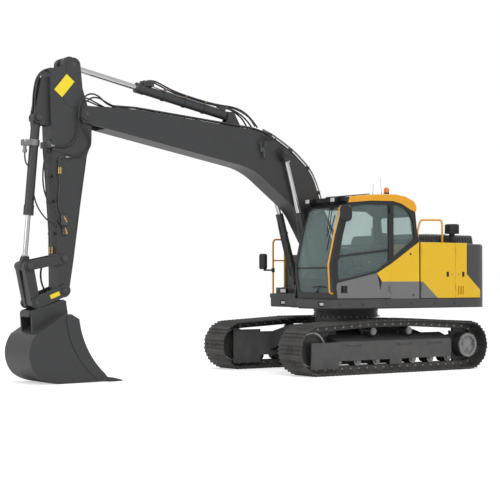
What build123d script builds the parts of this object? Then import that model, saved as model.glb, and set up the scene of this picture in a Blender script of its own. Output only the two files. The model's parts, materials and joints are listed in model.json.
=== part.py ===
"""A crawler excavator: tracked undercarriage, slewing upper with a cab, one-piece boom, arm and bucket.

Millimetres. +X is forward, +Y is the operator's left (the cab side) and +Z is up. The origin lies on the
ground in the middle of the machine's length. Side-view places are written (x, z), with x counted from
the slew axis; the plane helpers below put them in the machine's frame.
"""

import os
from math import acos, atan2, cos, degrees, hypot, radians, sin

from build123d import *

os.makedirs("parts", exist_ok=True)

# Overall reach and running clearances
tail_radius = 2500.0  # the counterweight's rear face, from the slew axis
bucket_reach = 6250.0  # the bucket's back, from the slew axis
slew_x = (tail_radius - bucket_reach) / 2
seat_gap = 0.3  # between faces that turn or slide on each other
side_gap = 5.0  # between plates that pass each other
sides = (("left", 1), ("right", -1))

# Tracks
track_gauge = 2200.0
wheel_base = 3280.0
shoe_width = 600.0
shoe_count = 49
shoe_gap = 6.0
plate_thickness = 12.0
grouser_height = 25.0
grouser_foot = 30.0
link_height = 100.0
link_width = 36.0
link_spacing = 150.0  # between the outer faces of a link pair
pin_circle = 328.0  # radius of the track pins round the sprocket and the idler
wheel_z = pin_circle + link_height / 2 + plate_thickness + grouser_height
carrier_x = 390.0
carrier_radius = 68.0
carrier_z = 690.0
carrier_line = carrier_radius + seat_gap + link_height / 2
carrier_bracket = 40.0
carrier_cap = 112.0  # the carriers' caps, from the track's middle

# Rollers, idler and final drive
roller_count = 7
roller_pitch = 400.0
roller_radius = 74.0
roller_length = 216.0
roller_flange = 14.0
roller_z = grouser_height + plate_thickness + link_height + seat_gap + roller_radius
idler_flange = 22.0
idler_axle = 42.0
sprocket_teeth = 23
sprocket_thickness = 56.0
tooth_depth = 42.0
drive_radius = 208.0
drive_reach = 236.0  # the drive cover's outer face, from the sprocket's middle
cover_notches = 24
cover_notch = 13.0
cover_step = 26.0
cap_radius = 158.0
motor_radius = 165.0
motor_reach = 300.0

# Track frames and the car body that joins them
frame_half = 150.0
frame_wall = 22.0
frame_low = 226.0
frame_high = 536.0
frame_rear_x = -1325.0
frame_front_x = 1175.0
flange_plate = 36.0  # the frame's flange that holds the final drive
flange_z = 404.0
frame_peak = 640.0  # the frame's top rises to this on its inner side
guard_peak = 680.0
guard_front_x = 1720.0
guide_x = (-200.0, 60.0)
guide_low = 140.0
pocket_xs = (1021.0, -77.0, -765.0)
pocket_z = 464.0
pocket_size = (110.0, 52.0)
pocket_deep = 12.0
groove_size = (290.0, 16.0)
# Columns: the idler guard's outer plate, out from the track's middle, and its height
guard_outline = ((128.0, 100.0), (140.0, 100.0), (164.0, 290.0), (164.0, 530.0), (128.0, 530.0))
clear_height = 460.0  # ground clearance
hub_radius = 540.0
car_top = 905.0

# Slew ring and deck
ring_radius = 560.0
ring_bore = 400.0
deck_low = 1062.0
deck_high = 1222.0
deck_wall = 60.0
deck_roof = 24.0
body_half = 1245.0  # half the upper's width
deck_rear_x = 940.0 - tail_radius
deck_front_x = 1262.0
deck_nose_x = 905.0  # between the cab and the right-hand steps
deck_right_x = 742.0
deck_corner = 45.0
deck_edge = 30.0
deck_pocket = (150.0, 84.0)
deck_pocket_deep = 42.0
deck_pockets = ((deck_front_x, body_half - 315.0), (deck_right_x, 395.0 - body_half))

# Counterweight
weight_front_x = 778.0 - tail_radius
weight_low_x = 460.0 - tail_radius
weight_bevel_z = (1640.0, 1370.0)
weight_high = 2172.0
weight_corner = 420.0
weight_edge = 45.0
eye_lift = 34.0  # a lifting eye's height over the counterweight
eye_back = 230.0
eye_side = 200.0

# Engine house: walls and doors behind the cab
house_front_x = -636.0
house_high = 2182.0
house_wall = 30.0
door_thickness = 32.0
door_low = 1230.0
door_split_x = weight_front_x + 285.0
door_edge = 8.0  # the rounding of the doors' outer edges
hinge_back = 8.0  # a service door's hinge line, behind the door's front edge
hinge_out = 10.0  # and from its outer face
knuckle_radius = 9.0
knuckle_half = 55.0
hinge_leaf = 34.0
hinge_heights = (1420.0, 2030.0)
vent_from = 60.0  # the rear doors' vent, from their front edge
vent_low = 1286.0
vent_high = 1434.0
vent_slots = 4
vent_slot = 20.0
vent_pitch = 38.0
panel_gap = 6.0
hood_half = body_half - 395.0
hood_front_x = -800.0
hood_rear_x = 260.0 - tail_radius  # its rear lies over the counterweight
hood_high = 2338.0
hood_taper = 60.0
hood_wall = 8.0
hood_lid = (560.0, 2 * hood_half - 360.0, 14.0)
hood_louvres = 20
hood_end = 130.0  # from the hood's end to its first louvre
louvre_outline = ((-14, -40), (2, -40), (14, 26), (-2, 26))
hood_hinge_in = 230.0
engine_front_x = house_front_x - 214.0
engine_rear_x = weight_front_x + 92.0
engine_y = -60.0
engine_half = body_half - 670.0
engine_high = 760.0

# Working gear: pins, in side view
boom_y = -100.0  # the boom's middle plane stands to the right of the cab
boom_foot = (360.0, 1750.0)
boom_tip = (5130.0, 4063.0)
lift_foot = (790.0, 1420.0)
lift_eye = (1455.0, 3670.0)
stick_foot = (2389.0, 4237.0)
stick_eye = (5335.0, 4805.0)
curl_foot = (5881.0, 3975.0)
guide_pin = (5508.0, 1862.0)
link_pin = (6065.0, 1748.0)
bucket_pin = (5483.0, 1382.0)
tilt_pin = (5949.0, 1199.0)

# Boom section
boom_half = 205.0
boom_rim = 8.0  # the flanges stand proud of the webs by this
foot_half = 174.0
foot_plate = 26.0  # each of the deck's two plates that hold the boom's foot
foot_clear = 610.0  # the boom stays narrow this far from its foot pin
fork_half = 172.0  # inside the boom's nose fork
fork_deep = 212.0  # the fork's root, behind the nose's round end
boss_foot = 150.0
boss_tip = 132.0
pin_radius = 45.0

boom_crest = (4250.0, 4200.0)
boom_bend = (1841.0, 4015.0)
boom_knee = (1235.0, 3682.0)
boom_rear = (829.0, 3345.0)
boom_bends = (800.0, 1500.0, 1200.0, 400.0)  # along the boom's back, from its foot to its tip
belly_rear = (1125.0, 2711.0)
belly_front = (2040.0, 3381.0)
tip_disc = 92.0
lift_disc = 98.0

# Arm section
arm_half = 160.0
arm_rim = 8.0  # the cheeks at the arm's ends stand proud of its web by this
arm_edge = 14.0  # and so do its belly and back, this wide
head_cheek = 6.0  # the round cheeks at the arm's head, outside its sides
head_disc = (5345.0, 4335.0)

# Cylinders: barrel and rod radii, and the eyes at their ends
lift_y = 276.0
lift_barrel = 64.0
lift_rod = 40.0
lift_eye_half = 40.0
stick_barrel = 76.0
stick_rod = 46.0
curl_barrel = 69.0
curl_rod = 37.0
eye_radius = 82.0
eye_half = 48.0
ear_plate = 30.0

# Bucket and quick coupler
bucket_half = 433.0
bucket_wall = 22.0
cutter_plate = 12.0  # the side cutters, outside the bucket's sides
ear_inner = arm_half + side_gap + 1
ear_outer = ear_inner + 34
tooth_count = 5
tooth_width = 84.0
coupler_half = 150.0
hook_pins = ((5524.0, 1190.0), (5985.0, 1040.0))
hook_radius = 56.0

# Cab
cab_right = 257.0
cab_low = deck_high + 4
cab_wall = 55.0
cab_rear_x = -598.0
door_rear_x = 32.0
door_high = 2832.0
cab_door_thickness = 42.0
handle_place = (1034.0, 1384.0)
handle_size = (136.0, 118.0)
handle_deep = 24.0
handle_bar = 34.0
handle_gap = 9.0
glass_thickness = 6.0
hinge_y = body_half + 20
cab_mount_xs = (-450.0, 1100.0)


def side(y):
    """Sketch plane across the machine at y: local x is forward of the slew axis and local y is up."""
    return Plane(origin=(slew_x, y, 0), x_dir=(1, 0, 0), z_dir=(0, -1, 0))


def level(z):
    """Sketch plane at height z: local x is forward of the slew axis and local y is to the left."""
    return Plane(origin=(slew_x, 0, z))


def front(x):
    """Sketch plane facing forward at x from the slew axis: local x is to the left and local y is up."""
    return Plane(origin=(slew_x + x, 0, 0), x_dir=(0, 1, 0), z_dir=(1, 0, 0))


def on_circle(centre, radius, angle):
    """The point of a circle at an angle in degrees."""
    return (centre[0] + radius * cos(radians(angle)), centre[1] + radius * sin(radians(angle)))


def tangent_angle(start, start_radius, end, end_radius, turn):
    """Angle of the radius at which a straight line touches two circles, on its left (1) or right (-1)."""
    reach = hypot(end[0] - start[0], end[1] - start[1])
    heading = degrees(atan2(end[1] - start[1], end[0] - start[0]))
    return heading + turn * degrees(acos((start_radius - end_radius) / reach))


def touch(point, centre, radius, turn):
    """Where the straight line from a point touches a circle, on the line's left (1) or right (-1)."""
    return on_circle(centre, radius, tangent_angle(point, 0, centre, radius, turn))


def bar(place, near, far, radius, mode=Mode.ADD):
    """A round bar along Y at a side-view place, from near to far."""
    with BuildSketch(side(near)) as section:
        with Locations(place):
            Circle(radius)
    extrude(section.sketch, amount=near - far, mode=mode)


def plate(points, near, far, rounds=(), mode=Mode.ADD):
    """A flat plate along Y from near to far: a polygon, with round bosses as (place, radius)."""
    with BuildSketch(side(near)) as section:
        if points:
            Polygon(*points, align=None)
        for place, radius in rounds:
            with Locations(place):
                Circle(radius)
    extrude(section.sketch, amount=near - far, mode=mode)


def strap(start, start_radius, end, end_radius, near, far, mode=Mode.ADD):
    """A plate along Y shaped as a belt round two circles, such as a link or a cylinder's neck."""
    left = tangent_angle(start, start_radius, end, end_radius, 1)
    right = tangent_angle(start, start_radius, end, end_radius, -1)
    corners = (
        on_circle(start, start_radius, left),
        on_circle(start, start_radius, right),
        on_circle(end, end_radius, right),
        on_circle(end, end_radius, left),
    )
    plate(corners, near, far, ((start, start_radius), (end, end_radius)), mode)


def between(start, end, share):
    """The side-view point at a share of the way from start to end."""
    return (start[0] + share * (end[0] - start[0]), start[1] + share * (end[1] - start[1]))


def along(start, end, distance):
    """The side-view point at a distance from start towards end."""
    return between(start, end, distance / hypot(end[0] - start[0], end[1] - start[1]))


def parallel(points, distance):
    """The corners of a side-view line moved sideways by a distance, to the left of its run."""
    headings = [atan2(end[1] - start[1], end[0] - start[0]) for start, end in zip(points, points[1:])]
    moved = []
    for point, before, after in zip(points, headings[:1] + headings, headings + headings[-1:]):
        reach = distance / cos((after - before) / 2)
        moved.append(on_circle(point, reach, 90 + degrees((before + after) / 2)))
    return moved


def axis_plane(place, y, towards):
    """Plane at a side-view place whose normal points along the line towards another place."""
    run = (towards[0] - place[0], 0, towards[1] - place[1])
    return Plane(origin=(slew_x + place[0], y, place[1]), x_dir=(0, 1, 0), z_dir=run)


def tube(start, end, y, radius, mode=Mode.ADD):
    """A round tube between two side-view places at y."""
    with BuildSketch(axis_plane(start, y, end)) as section:
        Circle(radius)
    extrude(section.sketch, amount=hypot(end[0] - start[0], end[1] - start[1]), mode=mode)


# Tracks: one closed loop, with the shoes in its outline and a link rail each side of the sprocket
front_wheel = (wheel_base / 2, wheel_z)
rear_wheel = (-wheel_base / 2, wheel_z)
front_carrier = (carrier_x, carrier_z)
rear_carrier = (-carrier_x, carrier_z)
rise = tangent_angle(front_wheel, pin_circle, front_carrier, carrier_line, -1)


def track_loop(out):
    """The closed line that runs at a distance outside the track's pins."""
    wheel = pin_circle + out
    carrier = carrier_line + out
    CenterArc(front_wheel, wheel, -90, 90 + rise)
    Line(on_circle(front_wheel, wheel, rise), on_circle(front_carrier, carrier, rise))
    CenterArc(front_carrier, carrier, rise, 90 - rise)
    Line((carrier_x, carrier_z + carrier), (-carrier_x, carrier_z + carrier))
    CenterArc(rear_carrier, carrier, 90, 90 - rise)
    Line(on_circle(rear_carrier, carrier, 180 - rise), on_circle(rear_wheel, wheel, 180 - rise))
    CenterArc(rear_wheel, wheel, 180 - rise, 90 + rise)
    Line((-wheel_base / 2, wheel_z - wheel), (wheel_base / 2, wheel_z - wheel))


with BuildLine() as pin_line:
    track_loop(0)
pin_wire = pin_line.wire()
shoe_pitch = pin_wire.length / shoe_count
shoe_face = link_height / 2 + plate_thickness
grouser_reach = (shoe_pitch - shoe_gap - grouser_foot) / 2

# Columns: distance along the shoe from its middle, and height over its plate
shoe_outline = [
    (middle + step, height)
    for middle in (-grouser_reach, 0, grouser_reach)
    for step, height in ((-grouser_foot / 2, 0), (0, grouser_height), (grouser_foot / 2, 0))
]

# Columns: distance along the shoe from its middle, and height of its inner face over the links. The lip at
# the shoe's end laps over the next one
shoe_lap = shoe_pitch / 2 - shoe_gap
shoe_bed = ((-shoe_lap, 0.0), (shoe_lap - 20.0, 0.0), (shoe_lap, -plate_thickness))

# Columns: the shoe's middle on the pin line, its run and its outward direction
shoe_frames = []
for shoe in range(shoe_count):
    place = pin_wire.position_at(shoe * shoe_pitch, position_mode=PositionMode.LENGTH)
    ahead = pin_wire.tangent_at(shoe * shoe_pitch, position_mode=PositionMode.LENGTH)
    outward = Vector(ahead.Y, -ahead.X, 0)
    if outward.dot(place - Vector(0, wheel_z, 0)) < 0:
        outward = -outward
    shoe_frames.append((place, ahead, outward))
tread = [
    place + ahead * run + outward * (shoe_face + height)
    for place, ahead, outward in shoe_frames
    for run, height in shoe_outline
]


def link_corners(out):
    """The corners of the chain's straight links, at a distance outside its pins."""
    corners = []
    for (place, ahead, outward), (onward, next_ahead, next_outward) in zip(
        shoe_frames, shoe_frames[1:] + shoe_frames[:1]
    ):
        start = place + outward * out
        turn = ahead.cross(next_ahead).Z
        reach = shoe_pitch / 2
        if abs(turn) > 1e-6:
            reach = (onward + next_outward * out - start).cross(next_ahead).Z / turn
        corners.append(start + ahead * reach)
    return corners


def loop_face(corners, mode=Mode.ADD):
    """A closed straight-sided face through points of the side view."""
    Polygon(*((corner.X, corner.Y) for corner in corners), align=None, mode=mode)


# Where the loop lies on the ground its inner side stays flat
inner_face = [
    place + ahead * run + outward * (link_height / 2 + height)
    for place, ahead, outward in shoe_frames
    for run, height in (shoe_bed if outward.Y > -0.99 else shoe_bed[:1])
]
track_y = track_gauge / 2
with BuildPart() as left_track:
    with BuildSketch(side(track_y + shoe_width / 2)):
        loop_face(tread)
        loop_face(inner_face, Mode.SUBTRACT)
    extrude(amount=shoe_width)
    for rail_y in (link_spacing / 2, link_width - link_spacing / 2):
        with BuildSketch(side(track_y + rail_y)):
            loop_face(link_corners(link_height / 2))
            loop_face(link_corners(-link_height / 2), Mode.SUBTRACT)
        extrude(amount=link_width)
for hand, shift in (("left", 0), ("right", -track_gauge)):
    with BuildPart() as track:
        add(left_track.part.moved(Location((0, shift, 0))))
    track.part.label = f"track_{hand}"
    export_step(track.part, f"parts/track_{hand}.step")

# Idlers at the front: two treads under the link rails, with a flange between them
idler_tread = pin_circle - link_height / 2 - seat_gap
link_slot = link_spacing / 2 - link_width
for hand, sign in sides:
    track_y = sign * track_gauge / 2
    with BuildPart() as idler:
        bar(front_wheel, track_y + link_spacing / 2, track_y - link_spacing / 2, idler_tread)
        bar(front_wheel, track_y + link_slot - 2, track_y - link_slot + 2, idler_tread + idler_flange)
        for face in (track_y + link_spacing / 2, track_y - link_spacing / 2 + idler_flange):
            with BuildSketch(side(face)):
                with Locations(front_wheel):
                    Circle(idler_tread * 0.82)
                    Circle(idler_tread * 0.4, mode=Mode.SUBTRACT)
            extrude(amount=idler_flange, mode=Mode.SUBTRACT)
        hub = frame_half - frame_wall - seat_gap
        bar(front_wheel, track_y + hub, track_y - hub, idler_axle)
    idler.part.label = f"idler_{hand}"
    export_step(idler.part, f"parts/idler_{hand}.step")

# Final drives at the rear: toothed sprocket, planetary drive outside it and its motor inside
tooth_root = pin_circle - tooth_depth
tooth_step = 360 / sprocket_teeth
for hand, sign in sides:
    track_y = sign * track_gauge / 2
    outer_y = track_y + sign * drive_reach
    inner_y = track_y - sign * motor_reach
    with BuildPart() as drive:
        with BuildSketch(side(track_y + sprocket_thickness / 2)):
            with Locations(rear_wheel):
                Circle(tooth_root)
                with PolarLocations(tooth_root - 6, sprocket_teeth):
                    Polygon((0, -30), (tooth_depth + 4, -13), (tooth_depth + 4, 13), (0, 30), align=None)
        extrude(amount=sprocket_thickness)
        bar(rear_wheel, max(outer_y, track_y), min(outer_y, track_y), drive_radius)
        bar(rear_wheel, max(inner_y, track_y), min(inner_y, track_y), motor_radius)
        # The cover's notched ring shows round a lower cap
        ring_y = outer_y - sign * cover_step
        with BuildSketch(side(max(outer_y, ring_y))):
            with Locations(rear_wheel):
                with PolarLocations(drive_radius, cover_notches):
                    Circle(cover_notch)
        extrude(amount=cover_step, mode=Mode.SUBTRACT)
        bar(rear_wheel, max(outer_y, ring_y), min(outer_y, ring_y), cap_radius, Mode.SUBTRACT)
    drive.part.label = f"final_drive_{hand}"
    export_step(drive.part, f"parts/final_drive_{hand}.step")

# Rollers: the machine's weight rests on the lower ones, and two carriers hold up the slack run
lower_xs = [(index - (roller_count - 1) / 2) * roller_pitch for index in range(roller_count)]
roller_middle = (frame_rear_x + frame_front_x) / 2
for hand, sign in sides:
    track_y = sign * track_gauge / 2
    reach = frame_half - frame_wall - seat_gap
    with BuildPart() as rollers:
        for lower_x in lower_xs:
            place = (roller_middle + lower_x, roller_z)
            bar(place, track_y + roller_length / 2, track_y - roller_length / 2, roller_radius)
            bar(place, track_y + link_slot - 2, track_y - link_slot + 2, roller_radius + roller_flange)
            bar(place, track_y + reach, track_y - reach, roller_radius / 2)
        carrier_root = track_y - sign * (frame_half - carrier_bracket - seat_gap)
        for place in (front_carrier, rear_carrier):
            for reach, radius in ((link_spacing / 2, carrier_radius), (carrier_cap, carrier_radius * 0.8)):
                carrier_end = track_y + sign * reach
                inner_y = track_y - sign * link_spacing / 2
                bar(place, max(carrier_end, inner_y), min(carrier_end, inner_y), radius)
            bar(place, max(carrier_root, track_y), min(carrier_root, track_y), carrier_radius / 2)
    rollers.part.label = f"rollers_{hand}"
    export_step(rollers.part, f"parts/rollers_{hand}.step")

# Track frames: an inverted channel over the rollers, with the idler's guard at its front
for hand, sign in sides:
    track_y = sign * track_gauge / 2
    left_y = track_y + frame_half
    right_y = track_y - frame_half
    with BuildPart() as side_frame:
        plate(
            (
                (frame_rear_x, frame_low + 60),
                (frame_rear_x, frame_high - 30),
                (frame_rear_x + 30, frame_high),
                (frame_front_x, frame_high),
                (frame_front_x, frame_low),
                (frame_rear_x + 60, frame_low),
            ),
            left_y,
            right_y,
        )
        roller_room = roller_z + roller_radius + roller_flange + side_gap
        with BuildSketch(side(left_y - frame_wall)):
            Polygon(
                (frame_rear_x, frame_low - 1),
                (frame_rear_x, roller_room),
                (frame_front_x, roller_room),
                (frame_front_x, frame_low - 1),
                align=None,
            )
            with Locations(front_wheel):
                Circle(pin_circle - link_height / 2 + idler_flange + 12)
        extrude(amount=2 * (frame_half - frame_wall), mode=Mode.SUBTRACT)
        # The top rises inward, so that dirt slides off it; plates guard the idler on both sides
        with BuildSketch(front(frame_rear_x)):
            Polygon(
                (track_y + sign * frame_half, frame_high - 1),
                (track_y - sign * frame_half, frame_high - 1),
                (track_y - sign * frame_half, frame_peak),
                align=None,
            )
        extrude(amount=frame_front_x - frame_rear_x)
        with BuildSketch(front(frame_front_x - frame_wall)):
            Polygon(*((track_y + sign * out, high) for out, high in guard_outline), align=None)
            guard_middle = (guard_outline[0][1] + guard_peak) / 2
            with Locations((track_y - sign * (frame_half - frame_wall / 2), guard_middle)):
                Rectangle(frame_wall, guard_peak - guard_outline[0][1])
        extrude(amount=guard_front_x - frame_front_x + frame_wall)
        # A chain guide hangs from both sides between the middle rollers
        for guide_y in (left_y, right_y + frame_wall):
            corners = [(x, z) for x in guide_x for z in (guide_low, frame_low + 1)]
            plate((corners[0], corners[1], corners[3], corners[2]), guide_y, guide_y - frame_wall)
        sprocket_room = pin_circle + side_gap + 4
        bar(rear_wheel, track_y + link_slot, track_y - link_slot, sprocket_room, Mode.SUBTRACT)
        flange_near = track_y - sign * frame_half
        flange_far = track_y - sign * (frame_half - flange_plate)
        near, far = max(flange_near, flange_far), min(flange_near, flange_far)
        strap(rear_wheel, motor_radius + 36, (frame_rear_x + 110, flange_z), 112, near, far)
        bar(rear_wheel, near + 1, far - 1, motor_radius + seat_gap, Mode.SUBTRACT)
        inner_y = track_y - sign * frame_half
        bracket_y = inner_y + sign * carrier_bracket
        for place in (front_carrier, rear_carrier):
            foot = (place[0], frame_high - 40)
            strap(foot, 70, place, carrier_radius / 2 + 12, max(inner_y, bracket_y), min(inner_y, bracket_y))
        outer_y = track_y + sign * frame_half
        pocket_y = outer_y - sign * pocket_deep
        with BuildSketch(side(max(outer_y, pocket_y))):
            for pocket_x in pocket_xs:
                with Locations((pocket_x, pocket_z)):
                    RectangleRounded(*pocket_size, 12)
                with Locations((pocket_x - (pocket_size[0] + groove_size[0]) / 2, pocket_z)):
                    Rectangle(*groove_size)
        extrude(amount=pocket_deep, mode=Mode.SUBTRACT)
    side_frame.part.label = f"track_frame_{hand}"
    export_step(side_frame.part, f"parts/track_frame_{hand}.step")

# Car body: four legs from the slew ring's seat down to the track frames
leg_end = track_gauge / 2 - frame_half
# Columns: one quarter of the legs from above, forward and out from the middle
leg_root = hub_radius + 20
leg_quarter = ((0, 430), (150, 470), (430, leg_end), (960, leg_end), (leg_root, 300), (leg_root, 0))
with BuildPart() as car_body:
    with BuildSketch(front(-1000)):
        Polygon(
            (-leg_end, 300),
            (-leg_end, frame_peak - 20),
            (-620, 760),
            (620, 760),
            (leg_end, frame_peak - 20),
            (leg_end, 300),
            (700, clear_height),
            (-700, clear_height),
            align=None,
        )
    extrude(amount=2000)
    with BuildSketch(level(clear_height - 200)):
        for x_sign, y_sign in ((1, 1), (1, -1), (-1, -1), (-1, 1)):
            corners = [(0, 0)] + [(x_sign * x, y_sign * y) for x, y in leg_quarter]
            Polygon(*corners, align=None)
    extrude(amount=700, mode=Mode.INTERSECT)
    with BuildSketch(level(clear_height)):
        Circle(hub_radius)
    extrude(amount=car_top - clear_height)
car_body.part.label = "car_body"
export_step(car_body.part, "parts/car_body.step")

with BuildPart() as slew_ring:
    with BuildSketch(level(car_top)):
        Circle(ring_radius)
        Circle(ring_bore, mode=Mode.SUBTRACT)
    extrude(amount=deck_low - seat_gap - car_top)
    with BuildSketch(level((car_top + deck_low) / 2 - 6)):
        Circle(ring_radius)
        Circle(ring_radius - 24, mode=Mode.SUBTRACT)
    extrude(amount=12, mode=Mode.SUBTRACT)
slew_ring.part.label = "slew_ring"
export_step(slew_ring.part, "parts/slew_ring.step")

# Deck: an open-bottomed frame, with the two plates that hold the boom's foot
deck_outline = (
    (deck_rear_x, -body_half),
    (deck_rear_x, body_half),
    (deck_front_x, body_half),
    (deck_front_x, cab_right),
    (deck_nose_x, cab_right),
    (deck_nose_x, boom_y - lift_y - 70),
    (deck_right_x, boom_y - lift_y - 70),
    (deck_right_x, -body_half),
)
with BuildPart() as slew_deck:
    with BuildSketch(level(deck_low)):
        Polygon(*deck_outline, align=None)
    extrude(amount=deck_high - deck_low)
    fillet(slew_deck.edges().filter_by(Axis.Z).sort_by(Axis.X)[2:], deck_corner)
    fillet(slew_deck.faces().sort_by(Axis.Z)[0].edges(), deck_edge)
    for front_x, pocket_y in deck_pockets:
        with BuildSketch(front(front_x)):
            with Locations((pocket_y, (deck_low + deck_high) / 2)):
                RectangleRounded(*deck_pocket, 16)
        extrude(amount=-deck_pocket_deep, mode=Mode.SUBTRACT)
    with BuildSketch(level(deck_low)):
        Polygon(*deck_outline, align=None)
        offset(amount=-deck_wall, kind=Kind.INTERSECTION)
        Circle(ring_radius + deck_wall, mode=Mode.SUBTRACT)
    extrude(amount=deck_high - deck_roof - deck_low, mode=Mode.SUBTRACT)
    for inner in (foot_half + side_gap, -foot_half - side_gap - foot_plate):
        near = boom_y + inner + foot_plate
        far = boom_y + inner
        strap(boom_foot, 105, lift_foot, 88, near, far)
        plate(
            (
                (boom_foot[0] - 560, deck_high),
                (boom_foot[0] - 102, boom_foot[1] + 24),
                boom_foot,
                lift_foot,
                (lift_foot[0] + 86, lift_foot[1] - 20),
                (deck_nose_x - 6, deck_high),
            ),
            near,
            far,
        )
    lift_seat = lift_y - lift_eye_half - seat_gap
    for hand, sign in sides:
        inner = boom_y + sign * (foot_half + side_gap)
        outer = boom_y + sign * lift_seat
        bar(lift_foot, max(inner, outer), min(inner, outer), 78)
        outer = boom_y + sign * (foot_half + side_gap + foot_plate + 14)
        bar(boom_foot, max(inner, outer), min(inner, outer), 74)
    bar(boom_foot, boom_y + foot_half + side_gap, boom_y - foot_half - side_gap, pin_radius)
slew_deck.part.label = "slew_deck"
export_step(slew_deck.part, "parts/slew_deck.step")

# Counterweight: one casting, round at the tail, its front face stepped round the rear doors
with BuildPart() as counterweight:
    with BuildSketch(level(deck_low)):
        Circle(tail_radius)
        with Locations((-tail_radius, 0)):
            Rectangle(2 * (tail_radius + deck_rear_x), 2 * body_half, mode=Mode.INTERSECT)
    extrude(amount=weight_high - deck_low)
    tail_edges = counterweight.edges().filter_by(Axis.Z).sort_by(Axis.X)[:2]
    fillet(tail_edges, weight_corner)
    with BuildSketch(side(body_half)):
        Polygon(
            (-tail_radius, deck_low),
            (deck_rear_x - 2, deck_low),
            (deck_rear_x - 2, deck_high),
            (weight_low_x, deck_high),
            (weight_low_x, weight_bevel_z[1]),
            (weight_front_x, weight_bevel_z[0]),
            (weight_front_x, weight_high),
            (-tail_radius, weight_high),
            align=None,
        )
    extrude(amount=2 * body_half, mode=Mode.INTERSECT)
    top_edges = counterweight.faces().sort_by(Axis.Z)[-1].edges().sort_by(Axis.X)[:-1]
    fillet(top_edges, weight_edge)
    # Lifting eyes let into the top
    for sign in (1, -1):
        eye = (weight_front_x - eye_back, weight_high + eye_lift)
        middle = sign * (body_half - eye_side)
        plate(
            (
                (eye[0] - 2 * eye_lift, weight_high - 1),
                (eye[0] - eye_lift, eye[1] + eye_lift),
                (eye[0] + eye_lift, eye[1] + eye_lift),
                (eye[0] + 2 * eye_lift, weight_high - 1),
            ),
            middle + eye_lift / 2,
            middle - eye_lift / 2,
        )
        bar(eye, middle + eye_lift, middle - eye_lift, eye_lift * 0.6, Mode.SUBTRACT)
counterweight.part.label = "counterweight"
export_step(counterweight.part, "parts/counterweight.step")

# Engine house: bulkhead, roof strips round the hood, rear wall and door posts
house_outline = (
    (house_front_x, deck_high),
    (house_front_x, house_high),
    (weight_front_x + panel_gap, house_high),
    (weight_front_x + panel_gap, weight_bevel_z[0]),
    (weight_low_x + panel_gap, weight_bevel_z[1]),
    (weight_low_x + panel_gap, deck_high),
)
house_side = body_half - door_thickness - panel_gap
with BuildPart() as house_frame:
    with BuildSketch(side(house_side)):
        Polygon(*house_outline, align=None)
    extrude(amount=2 * house_side)
    with BuildSketch(side(house_side)):
        Polygon(*house_outline, align=None)
        offset(amount=-house_wall, kind=Kind.INTERSECTION)
        with Locations(((house_front_x + weight_low_x) / 2, deck_high + house_wall)):
            Rectangle(house_front_x - weight_low_x - 2 * house_wall - panel_gap, 4 * house_wall)
    extrude(amount=2 * house_side, mode=Mode.SUBTRACT)
    with BuildSketch(level(house_high - house_wall)):
        with Locations(((hood_front_x + weight_front_x) / 2, 0)):
            Rectangle(hood_front_x - weight_front_x - 4 * house_wall, 2 * (hood_half - house_wall))
    extrude(amount=house_wall, mode=Mode.SUBTRACT)
    for sign in (1, -1):
        with BuildSketch(level(deck_high)):
            with Locations((door_split_x, sign * (house_side - 20))):
                Rectangle(60, 40)
        extrude(amount=house_high - deck_high)
house_frame.part.label = "house_frame"
export_step(house_frame.part, "parts/house_frame.step")

engine_long = engine_front_x - engine_rear_x
with BuildPart() as engine_block:
    with BuildSketch(level(deck_high + 40)):
        with Locations(((engine_front_x + engine_rear_x) / 2, engine_y)):
            Rectangle(engine_long, 2 * engine_half)
    extrude(amount=engine_high)
    fillet(engine_block.edges().filter_by(Axis.Z), 60)
    with BuildSketch(level(deck_high)):
        with Locations(((engine_front_x + engine_rear_x) / 2, engine_y)):
            with GridLocations(engine_long * 0.64, engine_half * 1.4, 2, 2):
                Circle(60)
    extrude(amount=45)
engine_block.part.label = "engine_block"
export_step(engine_block.part, "parts/engine_block.step")

with BuildPart() as engine_hood:
    with BuildSketch(side(hood_half)):
        Polygon(
            (hood_front_x, house_high + seat_gap),
            (hood_front_x - hood_taper, hood_high),
            (hood_rear_x + hood_taper / 2, hood_high),
            (hood_rear_x, house_high + seat_gap),
            align=None,
        )
    extrude(amount=2 * hood_half)
    fillet(engine_hood.faces().sort_by(Axis.Z)[-1].edges().filter_by(Axis.X), 50)
    offset(amount=-hood_wall, openings=engine_hood.faces().sort_by(Axis.Z)[:1])
    with BuildSketch(level(hood_high - hood_wall / 2)):
        with Locations(((hood_front_x + hood_rear_x) / 2, 0)):
            RectangleRounded(hood_lid[0], hood_lid[1], 60)
    extrude(amount=hood_wall / 2 + hood_lid[2])
    fillet(engine_hood.faces().sort_by(Axis.Z)[-1].edges(), hood_lid[2] / 2)
    # Louvres along both sides
    louvre_pitch = (hood_front_x - hood_rear_x - 2 * hood_end) / (hood_louvres - 1)
    for index in range(hood_louvres):
        slot_x = hood_front_x - hood_end - index * louvre_pitch
        slot = [(slot_x + lean, (house_high + hood_high) / 2 + rise) for lean, rise in louvre_outline]
        plate(slot, hood_half + 1, -hood_half - 1, mode=Mode.SUBTRACT)
    hinge_line = (hood_front_x, house_high + hinge_out + 1)
    for knuckle_y in (hood_half - hood_hinge_in, hood_hinge_in - hood_half):
        near, far = knuckle_y + knuckle_half, knuckle_y - knuckle_half
        bar(hinge_line, near, far, knuckle_radius)
        plate(
            (
                (hinge_line[0], hinge_line[1] - knuckle_radius),
                (hinge_line[0], hinge_line[1] + knuckle_radius),
                (hinge_line[0] - 24, hinge_line[1] + 30),
                (hinge_line[0] - 24, hinge_line[1] - knuckle_radius),
            ),
            near,
            far,
        )
engine_hood.part.label = "engine_hood"
export_step(engine_hood.part, "parts/engine_hood.step")

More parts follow.
